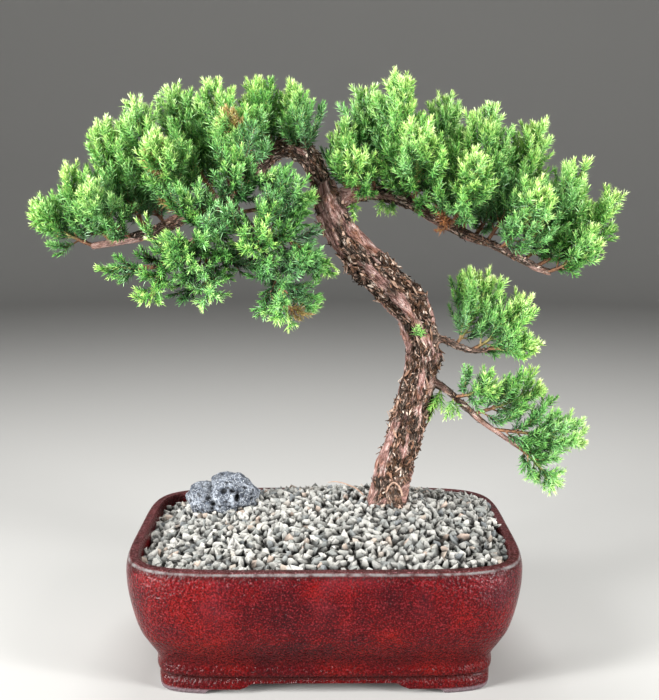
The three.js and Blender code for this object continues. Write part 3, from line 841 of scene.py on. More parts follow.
def makeLavaStone(settings):
    shape = bmesh.new()
    bmesh.ops.create_icosphere(shape, subdivisions=settings["detail"], radius=1)
    mesh = bpy.data.meshes.new("lava_rock")
    shape.to_mesh(mesh)
    shape.free()
    piece = addPiece("lava_rock", mesh)
    unit = pointsOf(piece)
    x, y, z = unit.T
    saddle = 0.1 * np.cos(3.1 * x + 0.8) * (1 - np.abs(z))
    lobes = 0.08 * np.sin(4 * x + 2 * y)
    rough = 0.045 * np.sin(9 * x + 5) * np.cos(8 * y) + 0.04 * np.sin(11 * z + 5 * x)
    grooveDepth, grooveAt, grooveSlant, grooveWidth, lineWidth = settings["groove"]
    fromGroove = x + grooveAt + grooveSlant * z
    groove = grooveDepth * np.exp(-(fromGroove / grooveWidth) ** 2)
    overhang = 0.16 * np.exp(-((x - 0.55) / 0.3) ** 2 - ((z + 0.42) / 0.2) ** 2)
    places = unit * (1 + saddle + lobes + rough - groove - overhang)[:, None]
    base, pressed = settings["base"]
    places[:, 2] = np.where(places[:, 2] < base, base + (places[:, 2] - base) * pressed, places[:, 2])
    places = (places * np.array(settings["size"]) / 2 + settings["centre"]) * mm
    movePoints(piece, places)
    normals = normalsOf(piece)
    lift = np.zeros(len(places))
    # pit marks where painted shade goes, first along the groove's line
    pit = 0.6 * np.exp(-(fromGroove / lineWidth) ** 2)
    for i, place in enumerate(places):
        p = Vector(place)
        lift[i] = 0.9 * noise.fractal(p * 130, 1.0, 2.0, 4) + 0.45 * noise.noise(p * 420)
        for scale, depth, size in settings["pitRows"]:
            distances, cells = noise.voronoi(p * scale)
            hole = min(1.0, max(0.0, (size - distances[0]) / (size * 0.45)))
            if noise.cell(cells[0] * 3.7) > settings["pitShare"]:
                lift[i] -= hole * depth * 1.6
                pit[i] = max(pit[i], hole)
    for direction, radius, depth in settings["hollows"]:
        middle = places[np.argmax(unit @ (np.array(direction) / np.linalg.norm(direction)))]
        away = np.linalg.norm(places - middle, axis=1) / (radius * mm)
        hole = 1 - smoothStep(away + 0.25 * np.sin(9 * unit[:, 0] + 7 * unit[:, 2]), 0.55, 1.15)
        lift -= hole * depth
        pit = np.maximum(pit, hole)
    movePoints(piece, places + normals * (lift * mm)[:, None])
    keepValues(piece, "pit", pit)
    piece.data.materials.append(lavaFinish())
    shadeSmooth(piece)
    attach(piece, "root")
    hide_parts("lava_stone")


makeLavaStone(lavaStone)
print("lava stone made")


# Wood

# Each limb is a path of [x, y, z, radius] in millimetres, as in the solids.
limbs = {
    "stem": [
        [46, 27, 62, 9], [47, 26, 80, 13.5], [47, 25, 94, 14.2], [48, 25, 106, 13.4], [51, 22, 126, 12.9],
        [59, 18, 155, 13], [66, 14, 182, 12.3], [71, 10, 209, 11.5], [69, 7, 227, 11.9], [60, 5, 248, 12.6],
        [40, 3, 269, 12.3], [18, 1, 292, 11.4], [7, 0, 313, 10.7], [3, 0, 328, 10],
    ],
    "left": [
        [3, 0, 320, 10], [-1, 2, 334, 8.2], [-6, 4, 345, 7.6], [-13, 6, 354, 7.2], [-23, 8, 359, 6.8],
        [-34, 10, 356, 6.2], [-43, 11, 348, 5.8], [-50, 12, 339, 5.4], [-75, 14, 323, 4.8],
        [-104, 14, 308, 4.4], [-120, 12, 301, 4], [-145, 10, 294, 3.2], [-163, 8, 291, 2.4],
    ],
    "right": [
        [4, 0, 316, 8.5], [12, 2, 324, 6.5], [30, 4, 328, 5], [54, 5, 323, 4.6], [78, 4, 311, 4.2],
        [100, 2, 299, 3.6], [117, 0, 292, 3.2], [134, -2, 284, 2.8], [149, -3, 276, 2.5],
        [158, -3, 273, 2.2],
    ],
    "front": [
        [-44, 9, 347, 4.6], [-52, -10, 337, 4.2], [-62, -30, 322, 3.8], [-74, -45, 304, 3.3],
        [-79, -51, 293, 2.8],
    ],
    "frontLeft": [[-74, -45, 304, 3], [-92, -54, 293, 2.5], [-110, -59, 281, 2]],
    "frontRight": [[-62, -30, 322, 3], [-48, -42, 306, 2.7], [-34, -50, 286, 2.2]],
    "highSide": [
        [70, 8, 229, 3.6], [84, 6, 225, 3], [96, 2, 220, 2.5], [107, -2, 218, 2.1], [116, -4, 220, 1.7],
    ],
    "lowSide": [
        [68, 13, 196, 3.8], [82, 10, 192, 3], [94, 6, 183, 2.6], [111, 2, 168, 2.2], [125, 0, 158, 1.9],
        [138, -2, 149, 1.6],
    ],
    "nearRoot": [[50, 18, 120, 5], [52, 11, 110, 4.6], [54, 6, 100, 3.8], [55, 2, 90, 3]],
    "sideRoot": [[45, 20, 114, 6], [38, 16, 105, 5], [32, 14, 96, 4], [28, 13, 88, 3]],
}
limbLines = {name: curveThrough(path, 1.0) for name, path in limbs.items()}

wood = {
    "voxel": 0.00104,
    "sides": 40,
    "ringStep": 2.0,
    "stripWidth": 3.0,
    "stripLength": 12.0,
    "plateRise": 2.2,
    "crackDepth": 1.7,
    "lumpRise": 2.8,
    "calmFrom": 0.07,  # the lower, the more of the bark is smooth
    "calmTop": ((14, 0, 300), 34.0, 0.34),  # the upper stem has peeled smooth: place, radius, share
    "rootHeight": 96,
    # hollow scars and stubs: place, radius, height in mm
    "scars": [((9, -12, 305), 5.0, -2.2), ((47, -9, 262), 6.0, -1.6), ((58, 0, 170), 6.5, -1.5),
              ((44, 12, 118), 6.0, 1.8), ((67, 2, 214), 6.0, 1.6), ((24, -4, 306), 3.2, 3.2)],
    "flakesPerSquareMetre": 58000.0,
    "flakeSize": (0.0017, 0.0046, 0.0004),
    "flakeSeed": 5,
    "flakeCurl": 3.0,
    "limbsApart": 500.0,  # keeps the grain of one limb from running on into the next
    "nearPoints": 12,
    "twist": 0.006,
    "thickLimb": 11,  # the bark is as coarse as it gets on limbs of this radius
    "calmBand": 0.1,
    "plateShare": 0.45,
    "rippleShare": 0.65,
    "crackWidth": 0.2,
    "buried": (82, 92),  # below the first height, in the gravel, the wood is plain
    "rootSpread": 22,
}


# Every point of the limb lines in one search tree, each with its place along them all, the point
# itself, its side, its up and its direction.
def limbTree(settings):
    tree = KDTree(sum(len(line) for line in limbLines.values()))
    rows = []
    for order, line in enumerate(limbLines.values()):
        ahead, sides, ups = framesAlong(line)
        for i in range(len(line)):
            tree.insert(line[i, :3], len(rows))
            rows.append((order * settings["limbsApart"] + i, line[i], sides[i], ups[i], ahead[i]))
    tree.balance()
    return tree, rows


woodTree, woodRows = limbTree(wood)


def isInWood(place, room):
    _, index, distance = woodTree.find(place)
    return distance < woodRows[index][1][3] + room


# The stem's ridges wind slowly round it, and its foot spreads into roots.
def stemRadius(angle, share, radius, height):
    ridges = 0.055 * np.sin(3 * angle + 9 * share) + 0.045 * np.sin(5 * angle - 14 * share + 1)
    spread = max(0.0, 1 - abs(height - wood["rootHeight"]) / wood["rootSpread"])
    return radius * (1 + ridges + spread * (0.07 + 0.17 * np.sin(4 * angle + 0.6)))


def limbMesh(name, settings):
    line = curveThrough(limbs[name], settings["ringStep"])
    _, sides, ups = framesAlong(line)
    angle = np.linspace(0, 2 * np.pi, settings["sides"], endpoint=False)
    rings = []
    for i, (x, y, z, radius) in enumerate(line):
        share = i / (len(line) - 1)
        if name == "stem":
            reach = stemRadius(angle, share, radius, z)
        else:
            reach = radius * (1 + 0.09 * np.sin(2 * angle + 15 * share))
        ring = np.array([x, y, z]) + np.outer(reach * np.cos(angle), sides[i])
        rings.append(ring + np.outer(reach * np.sin(angle), ups[i]))
    return loft(np.array(rings) * mm)


# For each point, its place along the nearest limb, the angle round it, its radius and its direction.
def woodPlaces(places, settings):
    found = np.empty((len(places), 6))
    for i, place in enumerate(places):
        hits = woodTree.find_n(place, settings["nearPoints"])
        near = min(hits, key=lambda hit: hit[2] / woodRows[hit[1]][1][3])
        along, centre, side, up, direction = woodRows[near[1]]
        away = place - centre[:3]
        found[i] = along, math.atan2(away.dot(up), away.dot(side)), centre[3], *direction
    return found


def barkFinish():
    material, tree, shader = newMaterial("juniper bark")
    place = placeOf(tree)
    grain = vectorOf(tree, *(attributeOf(tree, "grain" + axis) for axis in "XYZ"))
    strips = addNode(tree, "ShaderNodeTexNoise", {
        "Vector": grain, "Scale": 1.7, "Detail": 6.0, "Roughness": 0.7}).outputs[0]
    fibres = addNode(tree, "ShaderNodeTexNoise", {
        "Vector": grain, "Scale": 6.0, "Detail": 4.0, "Roughness": 0.6}).outputs[0]
    sway = addNode(tree, "ShaderNodeTexNoise", {"Vector": grain, "Scale": 1.2, "Detail": 3.0}).outputs[1]
    inputs = {0: grain, 1: scaled(tree, sway, 0.9)}
    bent = addNode(tree, "ShaderNodeVectorMath", inputs, operation="ADD").outputs[0]
    edge = addNode(tree, "ShaderNodeTexVoronoi", {"Vector": bent, "Scale": 1.5}, feature="DISTANCE_TO_EDGE")
    crack = attributeOf(tree, "crack")
    smooth = attributeOf(tree, "smooth")
    shag = calc(tree, "SUBTRACT", 1.0, calc(tree, "MULTIPLY", smooth, 0.85))
    shaggy = rampOf(tree, strips, [
        (0.4, "0e0805"), (0.47, "4f382d"), (0.53, "977464"), (0.59, "d3bcab"), (0.66, "f8f0e6")])
    fresh = rampOf(tree, strips, [
        (0.36, "4a2f2a"), (0.46, "90675f"), (0.56, "bd978f"), (0.66, "efdad2")])
    colour = blendColour(tree, smooth, shaggy, fresh)
    # thin limbs lighter: partly their paler scaly bark, partly painted light where they lie in shade
    thin = ranged(tree, attributeOf(tree, "girth"), 0.8, 0.55)
    colour = layOver(tree, colour, thin, 0.3, "b8988a")
    rust = cloudMask(tree, place, 110.0, 0.52, 0.68)
    colour = layOver(tree, colour, rust, 0.4, "a86c42")
    # painted highlight: a pale band along the edges of the bark's plates
    rim = calc(tree, "MULTIPLY", ranged(tree, edge.outputs[0], 0.16, 0.08), shag)
    colour = layOver(tree, colour, rim, 0.3, "cdb9a3")
    colour = layOver(tree, colour, ranged(tree, fibres, 0.48, 0.38), 0.75, "1d120d")
    # painted shade, near black, in the gaps between plates, the cracks and the hollow scars
    gap = calc(tree, "MULTIPLY", ranged(tree, edge.outputs[0], 0.1, 0.04), shag)
    gap = calc(tree, "MAXIMUM", calc(tree, "MULTIPLY", gap, 0.9), calc(tree, "MULTIPLY", crack, 0.9))
    colour = blendColour(tree, gap, colour, paint("0f0906"))
    setSurface(tree, shader, colour, 0.8, 0.2)
    relief = calc(tree, "MULTIPLY_ADD", fibres, 0.5, strips)
    relief = calc(tree, "MULTIPLY_ADD", gap, -0.7, relief)
    setRelief(tree, shader, relief, 0.0034)
    return material


def flakeFinish():
    material, tree, shader = newMaterial("peeling bark")
    place = placeOf(tree)
    tint = attributeOf(tree, "tint")
    colour = rampOf(tree, tint, [
        (0.0, "160d08"), (0.4, "45301f"), (0.64, "8a6753"), (0.88, "bda08d"), (1.0, "ddcbbb")])
    mottle = cloudMask(tree, place, 500.0, 0.35, 0.7)
    colour = layOver(tree, colour, mottle, 0.4, "452f23")
    setSurface(tree, shader, colour, 0.8, 0.2)
    setRelief(tree, shader, mottle, 0.0004)
    return material


# Thin pointed flakes that lie along the grain, each with one end curling away from the wood.
def flakingTree():
    inputs = [("Wood", "Geometry", None), ("Flakes Per Square Metre", "Float", 50000.0),
              ("Flake Size", "Vector", None), ("Curl", "Float", 3.0), ("Seed", "Int", 0),
              ("Flake Finish", "Material", None)]
    tree, given, result = makeGroup("flaking bark", "GeometryNodeTree", inputs, [("Bark", "Geometry")])

    density = calc(tree, "MULTIPLY", named(tree, "shag"), given.outputs["Flakes Per Square Metre"])
    spots = addNode(tree, "GeometryNodeDistributePointsOnFaces", {
        "Mesh": given.outputs["Wood"], "Density": density, "Seed": given.outputs["Seed"]},
        distribute_method="RANDOM")
    grainWay = vectorOf(tree, *(named(tree, "way" + axis) for axis in "XYZ"))
    turned = addNode(tree, "FunctionNodeAxesToRotation", {
        0: spots.outputs["Normal"], 1: grainWay}, primary_axis="Z", secondary_axis="Y").outputs[0]
    flip = calc(tree, "MULTIPLY", calc(tree, "ROUND", drawn(tree, given, 0.0, 1.0, 1)), math.pi)
    turn = calc(tree, "ADD", flip, drawn(tree, given, -0.8, 0.8, 2))
    turned = turnedBy(tree, turned, rotationOf(tree, z=turn))
    tilt = rotationOf(tree, x=drawn(tree, given, 0.03, 0.3, 3), y=drawn(tree, given, -0.25, 0.25, 4))
    turned = turnedBy(tree, turned, tilt)

    slab = addNode(tree, "GeometryNodeMeshCube", {
        "Size": (1, 1, 1), "Vertices X": 2, "Vertices Y": 3, "Vertices Z": 2}).outputs[0]
    x, y, z = positionParts(tree)
    share = calc(tree, "ADD", y, 0.5)
    fromMiddle = calc(tree, "ABSOLUTE", calc(tree, "MULTIPLY", y, 2.0))
    narrowing = calc(tree, "MULTIPLY", calc(tree, "POWER", fromMiddle, 1.5), 0.75)
    taper = calc(tree, "SUBTRACT", 1.0, narrowing)
    lifted = calc(tree, "MULTIPLY", calc(tree, "MULTIPLY", share, share), given.outputs["Curl"])
    bent = vectorOf(tree, calc(tree, "MULTIPLY", x, taper), y, calc(tree, "ADD", z, lifted))
    flake = flatShaded(tree, moved(tree, slab, Position=bent))
    flake = withMaterial(tree, flake, given.outputs["Flake Finish"])

    seed = calc(tree, "ADD", given.outputs["Seed"], 5.0)
    spread = drawnVector(tree, (0.4, 0.35, 0.8), (1.6, 1.7, 1.3), seed)
    inputs = {0: spread, 1: given.outputs["Flake Size"]}
    size = addNode(tree, "ShaderNodeVectorMath", inputs, operation="MULTIPLY").outputs[0]
    flakes = addNode(tree, "GeometryNodeInstanceOnPoints", {
        "Points": spots.outputs[0], "Instance": flake, "Rotation": turned,
        "Scale": scaled(tree, size, named(tree, "girth"))}).outputs[0]
    flakes = stored(tree, flakes, "tint", drawn(tree, given, 0.0, 1.0, 6), "INSTANCE")
    finishGroup(tree, result, flakes, given.outputs["Wood"])
    return tree


def makeWood(settings, flakes):
    points, faces = joinLofts(limbMesh(name, settings) for name in limbs)
    piece = meshPiece("juniper_trunk", points, faces)
    outwards(piece)
    remesh = piece.modifiers.new("fuse", "REMESH")
    remesh.mode = "VOXEL"
    remesh.voxel_size = settings["voxel"]
    soften = piece.modifiers.new("soften", "SMOOTH")
    soften.factor = 0.5
    soften.iterations = 3
    applyModifiers(piece)

    places = pointsOf(piece)
    normals = normalsOf(piece)
    found = woodPlaces(places / mm, settings)
    along, angle, radius = found[:, :3].T
    width, length = settings["stripWidth"], settings["stripLength"]
    twist = angle + along * settings["twist"]
    grain = np.stack([np.cos(twist) * radius / width, np.sin(twist) * radius / width, along / length], 1)
    lift = np.zeros(len(places))
    crack = np.zeros(len(places))
    smooth = np.zeros(len(places))
    top, topReach, peeled = settings["calmTop"]
    for i, p in enumerate(grain):
        p = Vector(p)
        size = min(1.0, radius[i] / settings["thickLimb"])
        bent = p + Vector((noise.noise(p * 0.9), noise.noise(p * 0.9 + Vector((7, 3, 1))), 0)) * 0.7
        distances, cells = noise.voronoi(bent * 1.05)
        gap = distances[1] - distances[0]
        patch = noise.noise(p * 0.3 + Vector((3.1, 0, 4.2))) + 0.3 * noise.noise(p * 1.3)
        patch += peeled * math.exp(-((Vector(places[i] / mm) - Vector(top)).length / topReach) ** 2)
        calm = min(1.0, max(0.0, (patch - settings["calmFrom"]) / settings["calmBand"]))
        plate = noise.cell(cells[0] * 5.1) * (1 - 0.8 * calm)
        edge = min(1.0, max(0.0, 1 - gap / settings["crackWidth"])) * (1 - 0.85 * calm)
        ripple = noise.fractal(bent * 1.9, 1.0, 2.0, 3) * (1 - 0.65 * calm)
        lump = noise.noise(p * 0.55 + Vector((1.7, 5.2, 0)))
        rough = settings["plateShare"] * plate + settings["rippleShare"] * ripple
        lift[i] = size * (settings["plateRise"] * rough
                          + settings["lumpRise"] * lump - settings["crackDepth"] * edge)
        crack[i] = edge
        smooth[i] = calm
    for centre, reach, height in settings["scars"]:
        away = np.linalg.norm(places / mm - centre, axis=1)
        bulge = np.exp(-(away / reach) ** 2 * 1.5)
        lift += bulge * height
        smooth *= 1 - bulge
        # hollow scars are marked as cracks, for their painted shade
        if height < 0:
            crack = np.maximum(crack, bulge)
    free = smoothStep(places[:, 2] / mm, *settings["buried"])
    movePoints(piece, places + normals * (lift * free * mm)[:, None])
    values = {"crack": crack, "smooth": smooth, "shag": (1 - smooth) * free,
              "girth": 0.4 + 0.6 * np.minimum(1, radius / settings["thickLimb"])}
    values |= {"grain" + axis: grain[:, k] for k, axis in enumerate("XYZ")}
    values |= {"way" + axis: found[:, 3 + k] for k, axis in enumerate("XYZ")}
    for name, numbers in values.items():
        keepValues(piece, name, numbers)
    piece.data.materials.append(barkFinish())
    shadeSmooth(piece)
    runNodes(piece, flakingTree(), {
        "Flakes Per Square Metre": settings["flakesPerSquareMetre"], "Flake Size": settings["flakeSize"],
        "Curl": settings["flakeCurl"], "Seed": settings["flakeSeed"], "Flake Finish": flakes})
    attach(piece, "root")
    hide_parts("trunk")
    print("wood triangles", 2 * len(piece.data.polygons))


peelingBark = flakeFinish()
makeWood(wood, peelingBark)
print("wood made")


# Foliage

# The sprays of a pad leave their limb at even steps from one share of its length to another,
# and each ends at a tip [x, y, z] in millimetres, as in the solids.
pads = {
    "left_pad": ("left", 0.16, 0.99, [
        [-22, 6, 408], [-29, 52, 392], [-51, 22, 408], [-66, -30, 380], [-79, 8, 408], [-93, 56, 394],
        [-111, 24, 405], [-116, -34, 364], [-133, 2, 393], [-150, 50, 364], [-158, 20, 380],
        [-160, -30, 334], [-181, 4, 345], [-204, 4, 319],
    ]),
    "front_pad": ("front", 0.3, 0.98, [
        [-33, -60, 341], [-58, -56, 347], [-87, -66, 317], [-91, -88, 287], [-72, -74, 257],
    ]),
    "front_left_pad": ("frontLeft", 0.45, 0.98, [[-120, -48, 300], [-112, -80, 256], [-149, -62, 281]]),
    "front_right_pad": ("frontRight", 0.2, 0.98, [
        [-4, -54, 331], [12, -60, 278], [-42, -94, 296], [-22, -72, 244],
    ]),
    "right_pad": ("right", 0.1, 0.985, [
        [8, 2, 379], [19, -40, 353], [29, 14, 404], [46, 52, 392], [52, -8, 409], [62, -46, 372],
        [86, 18, 398], [96, 56, 380], [102, -48, 353], [116, -4, 391], [140, 50, 359], [152, 14, 379],
        [146, -42, 334], [181, -6, 349], [188, 38, 326], [205, 4, 326], [188, -24, 298],
    ]),
    "high_side_pad": ("highSide", 0.5, 0.97, [[119, 8, 273], [145, 4, 252], [151, -10, 223]]),
    "low_side_pad": ("lowSide", 0.34, 0.97, [
        [121, -16, 196], [158, 12, 191], [189, -6, 152], [169, 0, 111],
    ]),
}

foliage = {
    "stem": 1.7,  # radius of a spray's stem at its foot
    "stemTaper": 0.72,
    "firstBranch": 0.1,
    "branchGap": 2.5,
    "branchLean": 52,
    "branchReach": 0.62,
    "branchLeast": 7,
    "longestBranch": 33,
    "branchSizes": (0.6, 1.2),
    "firstShoot": 0.2,
    "shootGap": 3.9,
    "shootLean": 40,
    "shootReach": 0.45,
    "shootLeast": 4.5,
    "shootSizes": (0.55, 1.5),
    "leans": (0.8, 1.2),
    "gaps": (0.75, 1.25),
    # shares of its length: to the bend, on from it, along the parent, upwards
    "branchBends": (0.56, 0.14, 0.2, 0.26),
    "shootBends": (0.5, 0.1, 0.22, 0.24),
    "bareStem": 0.3,
    "bareBranch": 3.5,
    "deadShare": 0.003,
    "brownSpots": [(-59, -20, 379), (-117, -15, 357), (-110, -20, 318), (-158, 5, 298), (-22, -70, 256)],
    "brownReach": 10,
    # where wood or air shows between the pads: x, z, radius, and how far back it reaches
    "windows": [
        (9, 322, 13, 10), (14, 303, 12, 10), (12, 289, 9, 10), (20, 312, 10, 10),
        (-26, 354, 8, 2), (-38, 350, 7, 2), (-13, 349, 9, 2), (-2, 342, 9, 2), (4, 378, 7, 40),
        (-117, 303, 8, 15), (-107, 308, 8, 15), (-128, 297, 8, 15), (-141, 290, 8, 15), (-152, 284, 7, 15),
        (-97, 314, 6, 15),
    ],
    "tipRoom": 5,  # how far the last needles reach past the end of a spray's axis
    "whorlGap": 0.00165,
    "needleLength": 0.0059,
    "needleWidth": 0.0013,
    "needleLeans": (53, 24),  # away from the shoot, at its foot and at its tip
    "fullness": {
        "front_pad": 1.4, "front_left_pad": 1.3, "front_right_pad": 1.4, "high_side_pad": 1.15,
        "front_pad_01": 0.95, "front_pad_02": 1.6, "front_pad_04": 1.6, "front_pad_05": 1.7,
        "front_left_pad_03": 0.9, "front_right_pad_03": 1.6, "front_right_pad_04": 1.6,
        "left_pad_01": 0.8, "left_pad_02": 0.9,
    },
    # painted shade (below zero) and painted light (above zero) for each pad, added to its freshness
    "shade": {"front_pad": -0.13, "front_left_pad": -0.07, "front_right_pad": -0.13, "high_side_pad": 0.08},
    # single sprigs on the wood: foot, tip and seed
    "sprigs": [
        ((66, -3, 229), (66, -10, 234), 3), ((41, 2, 324), (37, -4, 312), 4),
        ((48, 2, 323), (48, -5, 313), 5), ((19, 2, 323), (19, -5, 315), 6),
        ((84, 9, 190), (79, 4, 174), 7), ((93, 6, 184), (91, 0, 170), 8),
    ],
    "sprigNeedle": 0.0062,
    "sprigLeans": (62, 34),
}

rootlets = {
    "sides": 5,
    "step": 1.5,
    "tint": 0.8,
    # paths of [x, y, z, radius] in millimetres
    "paths": [
        [[3, 40, 111.5, 0.2], [7.5, 39, 112.4, 0.35], [14, 38, 111.7, 0.4], [19, 36, 110.3, 0.45],
         [24, 34, 108.6, 0.5], [32, 30, 102, 0.6]],
        [[45, 12, 111, 0.7], [47.5, 9, 117.5, 0.7], [50.5, 7, 120.5, 0.65], [54.5, 7, 117, 0.7],
         [57, 8, 110, 0.8]],
    ],
}


# Needles in threes along the young part of each line, over thin stems.
def needledShootsTree():
    inputs = [("Shoots", "Geometry", None), ("Whorl Gap", "Float", 0.002), ("Needle Length", "Float", 0.006),
              ("Needle Width", "Float", 0.001), ("Lean At Foot", "Float", 1.0),
              ("Lean At Tip", "Float", 0.5), ("Seed", "Int", 0),
              ("Needle Finish", "Material", None), ("Stem Finish", "Material", None)]
    tree, given, result = makeGroup("needled shoots", "GeometryNodeTree", inputs, [("Spray", "Geometry")])

    lines = addNode(tree, "GeometryNodeMeshToCurve", {0: given.outputs["Shoots"]}).outputs[0]
    ring = addNode(tree, "GeometryNodeCurvePrimitiveCircle", {"Resolution": 3, "Radius": 1.0}).outputs[0]
    stems = addNode(tree, "GeometryNodeCurveToMesh", {
        "Curve": lines, "Profile Curve": ring, "Scale": named(tree, "thick"), "Fill Caps": True}).outputs[0]
    stems = withMaterial(tree, stems, given.outputs["Stem Finish"])

    whorls = addNode(tree, "GeometryNodeResampleCurve", {
        "Curve": lines, "Length": given.outputs["Whorl Gap"]}, mode="LENGTH").outputs[0]
    share = addNode(tree, "GeometryNodeSplineParameter")
    whorls = stored(tree, whorls, "reach", share.outputs["Factor"])
    whorls = stored(tree, whorls, "order", share.outputs["Index"])
    dots = addNode(tree, "GeometryNodeCurveToPoints", {0: whorls}, mode="EVALUATED")
    inputs = {0: dots.outputs["Points"], 1: isHigh(tree, named(tree, "bare"))}
    clad = addNode(tree, "GeometryNodeDeleteGeometry", inputs, domain="POINT").outputs[0]
    inputs = {"Geometry": clad, "Amount": 3}
    trios = addNode(tree, "GeometryNodeDuplicateElements", inputs, domain="POINT")

    third = calc(tree, "MULTIPLY", trios.outputs["Duplicate Index"], 2 * math.pi / 3)
    spin = calc(tree, "ADD", third, calc(tree, "MULTIPLY", named(tree, "order"), math.pi / 3))
    spin = calc(tree, "ADD", spin, drawn(tree, given, -0.3, 0.3, 1))
    reach = calc(tree, "POWER", named(tree, "reach"), 1.6)
    lean = ranged(tree, reach, 0.0, 1.0, given.outputs["Lean At Foot"], given.outputs["Lean At Tip"])
    lean = calc(tree, "MULTIPLY", lean, drawn(tree, given, 0.78, 1.2, 2))
    turned = turnedBy(tree, dots.outputs["Rotation"], rotationOf(tree, z=spin))
    turned = turnedBy(tree, turned, rotationOf(tree, x=lean))

    spike = addNode(tree, "GeometryNodeMeshCone", {
        "Vertices": 3, "Side Segments": 1, "Radius Top": 0.0, "Radius Bottom": 1.0, "Depth": 1.0})
    x, y, z = positionParts(tree)
    blade = vectorOf(tree, calc(tree, "MULTIPLY", y, -0.577), calc(tree, "MULTIPLY", x, 0.34), z)
    needle = flatShaded(tree, moved(tree, spike.outputs["Mesh"], Position=blade))
    needle = withMaterial(tree, stored(tree, needle, "along", z), given.outputs["Needle Finish"])

    shortening = calc(tree, "MULTIPLY", calc(tree, "POWER", named(tree, "reach"), 3.0), 0.38)
    length = calc(tree, "MULTIPLY", given.outputs["Needle Length"], calc(tree, "SUBTRACT", 1.0, shortening))
    length = calc(tree, "MULTIPLY", length, drawn(tree, given, 0.8, 1.15, 3))
    width = calc(tree, "MULTIPLY", given.outputs["Needle Width"], drawn(tree, given, 0.85, 1.15, 4))
    needles = addNode(tree, "GeometryNodeInstanceOnPoints", {
        "Points": trios.outputs[0], "Instance": needle, "Rotation": turned,
        "Scale": vectorOf(tree, width, width, length)}).outputs[0]
    needles = stored(tree, needles, "tint", drawn(tree, given, 0.0, 1.0, 5), "INSTANCE")
    finishGroup(tree, result, needles, stems)
    return tree


def needleFinish():
    material, tree, shader = newMaterial("juniper needle")
    place = placeOf(tree)
    fresh = attributeOf(tree, "fresh")
    tint = attributeOf(tree, "tint")
    along = attributeOf(tree, "along")
    # darker where freshness is low and towards each needle's foot: partly older needles, partly painted
    # shade deep in the pads and at the needles' feet, with each pad's painted shade and light
    tone = calc(tree, "MULTIPLY_ADD", fresh, 0.74, calc(tree, "MULTIPLY", tint, 0.26))
    tone = calc(tree, "MULTIPLY_ADD", along, 0.26, calc(tree, "SUBTRACT", tone, 0.12))
    colour = rampOf(tree, tone, [
        (0.1, "0c210a"), (0.3, "2f6428"), (0.54, "68a548"), (0.78, "b6d573"), (1.0, "ebf3bc")])
    blue = cloudMask(tree, place, 22.0, 0.42, 0.7)
    waxy = calc(tree, "MULTIPLY", blue, ranged(tree, tint, 0.3, 0.9, 0.05, 0.5))
    colour = blendColour(tree, waxy, colour, paint("9fd2a8"))
    dead = attributeOf(tree, "dead")
    colour = blendColour(tree, dead, colour, blendColour(tree, tint, paint("5c321e"), paint("a06a40")))
    setSurface(tree, shader, colour, 0.42, 0.5)
    return material


def twigFinish():
    material, tree, shader = newMaterial("twig bark")
    place = placeOf(tree)
    fresh = attributeOf(tree, "fresh")
    scales = cloudMask(tree, place, 420.0, 0.35, 0.65)
    brown = blendColour(tree, scales, paint("5a3826"), paint("8f6546"))
    green = blendColour(tree, scales, paint("7c9a44"), paint("b0c070"))
    colour = blendColour(tree, ranged(tree, fresh, 0.2, 0.45), brown, green)
    setSurface(tree, shader, colour, 0.75)
    setRelief(tree, shader, scales, 0.0004)
    return material


goldenTurn = math.radians(137.5)


def bezier(start, bend, end, count):
    t = np.linspace(0, 1, count)[:, None]
    return (1 - t) ** 2 * start + 2 * t * (1 - t) * bend + t * t * end


def aimed(ahead, side, up, turn, lean):
    out = side * math.cos(turn) + up * math.sin(turn)
    return ahead * math.cos(lean) + out * math.sin(lean)


def isInWindow(place, windows):
    return any(
        math.hypot(place[0] - x, place[2] - z) < radius and place[1] < back
        for x, z, radius, back in windows
    )


# The point at a share of a line's length, and the step of the line that it lies in.
def pointAt(line, share):
    at = share * (len(line) - 1)
    step = min(len(line) - 2, int(at))
    return line[step] + (line[step + 1] - line[step]) * (at - step), step


# The bend and the end of a branch, which sets off one way, then follows its parent a little and rises.
def bendsOf(foot, direction, parent, size, bends):
    toBend, onwards, following, rising = bends
    bend = foot + direction * size * toBend
    end = bend + direction * size * onwards + parent * size * following
    return bend, end + np.array([0, 0, size * rising])


def growShoots(branch, size, fresh, young, dead, settings, draw):
    lines = []
    steps = np.linspace(0, 1, 3)
    ahead, sides, ups = framesAlong(branch)
    along = settings["firstShoot"] * size
    turn = draw.uniform(0, 2 * math.pi)
    while along < size - 3:
        foot, j = pointAt(branch, along / size)
        shootSize = settings["shootReach"] * (size - along) + settings["shootLeast"]
        shootSize *= draw.uniform(*settings["shootSizes"])
        lean = math.radians(settings["shootLean"] * draw.uniform(*settings["leans"]))
        direction = aimed(ahead[j], sides[j], ups[j], turn, lean)
        bend, end = bendsOf(foot, direction, ahead[j], shootSize, settings["shootBends"])
        turn += goldenTurn + draw.uniform(-0.5, 0.5)
        along += settings["shootGap"] * draw.uniform(*settings["gaps"])
        if isInWindow(end, settings["windows"]):
            continue
        high = min(1.0, young * 0.9 + 0.1)
        lines.append({"points": bezier(foot, bend, end, 3), "thick": 0.4 - 0.15 * steps,
                      "fresh": fresh[j] + (high - fresh[j]) * steps, "bare": steps * 0.0, "dead": dead})
    return lines
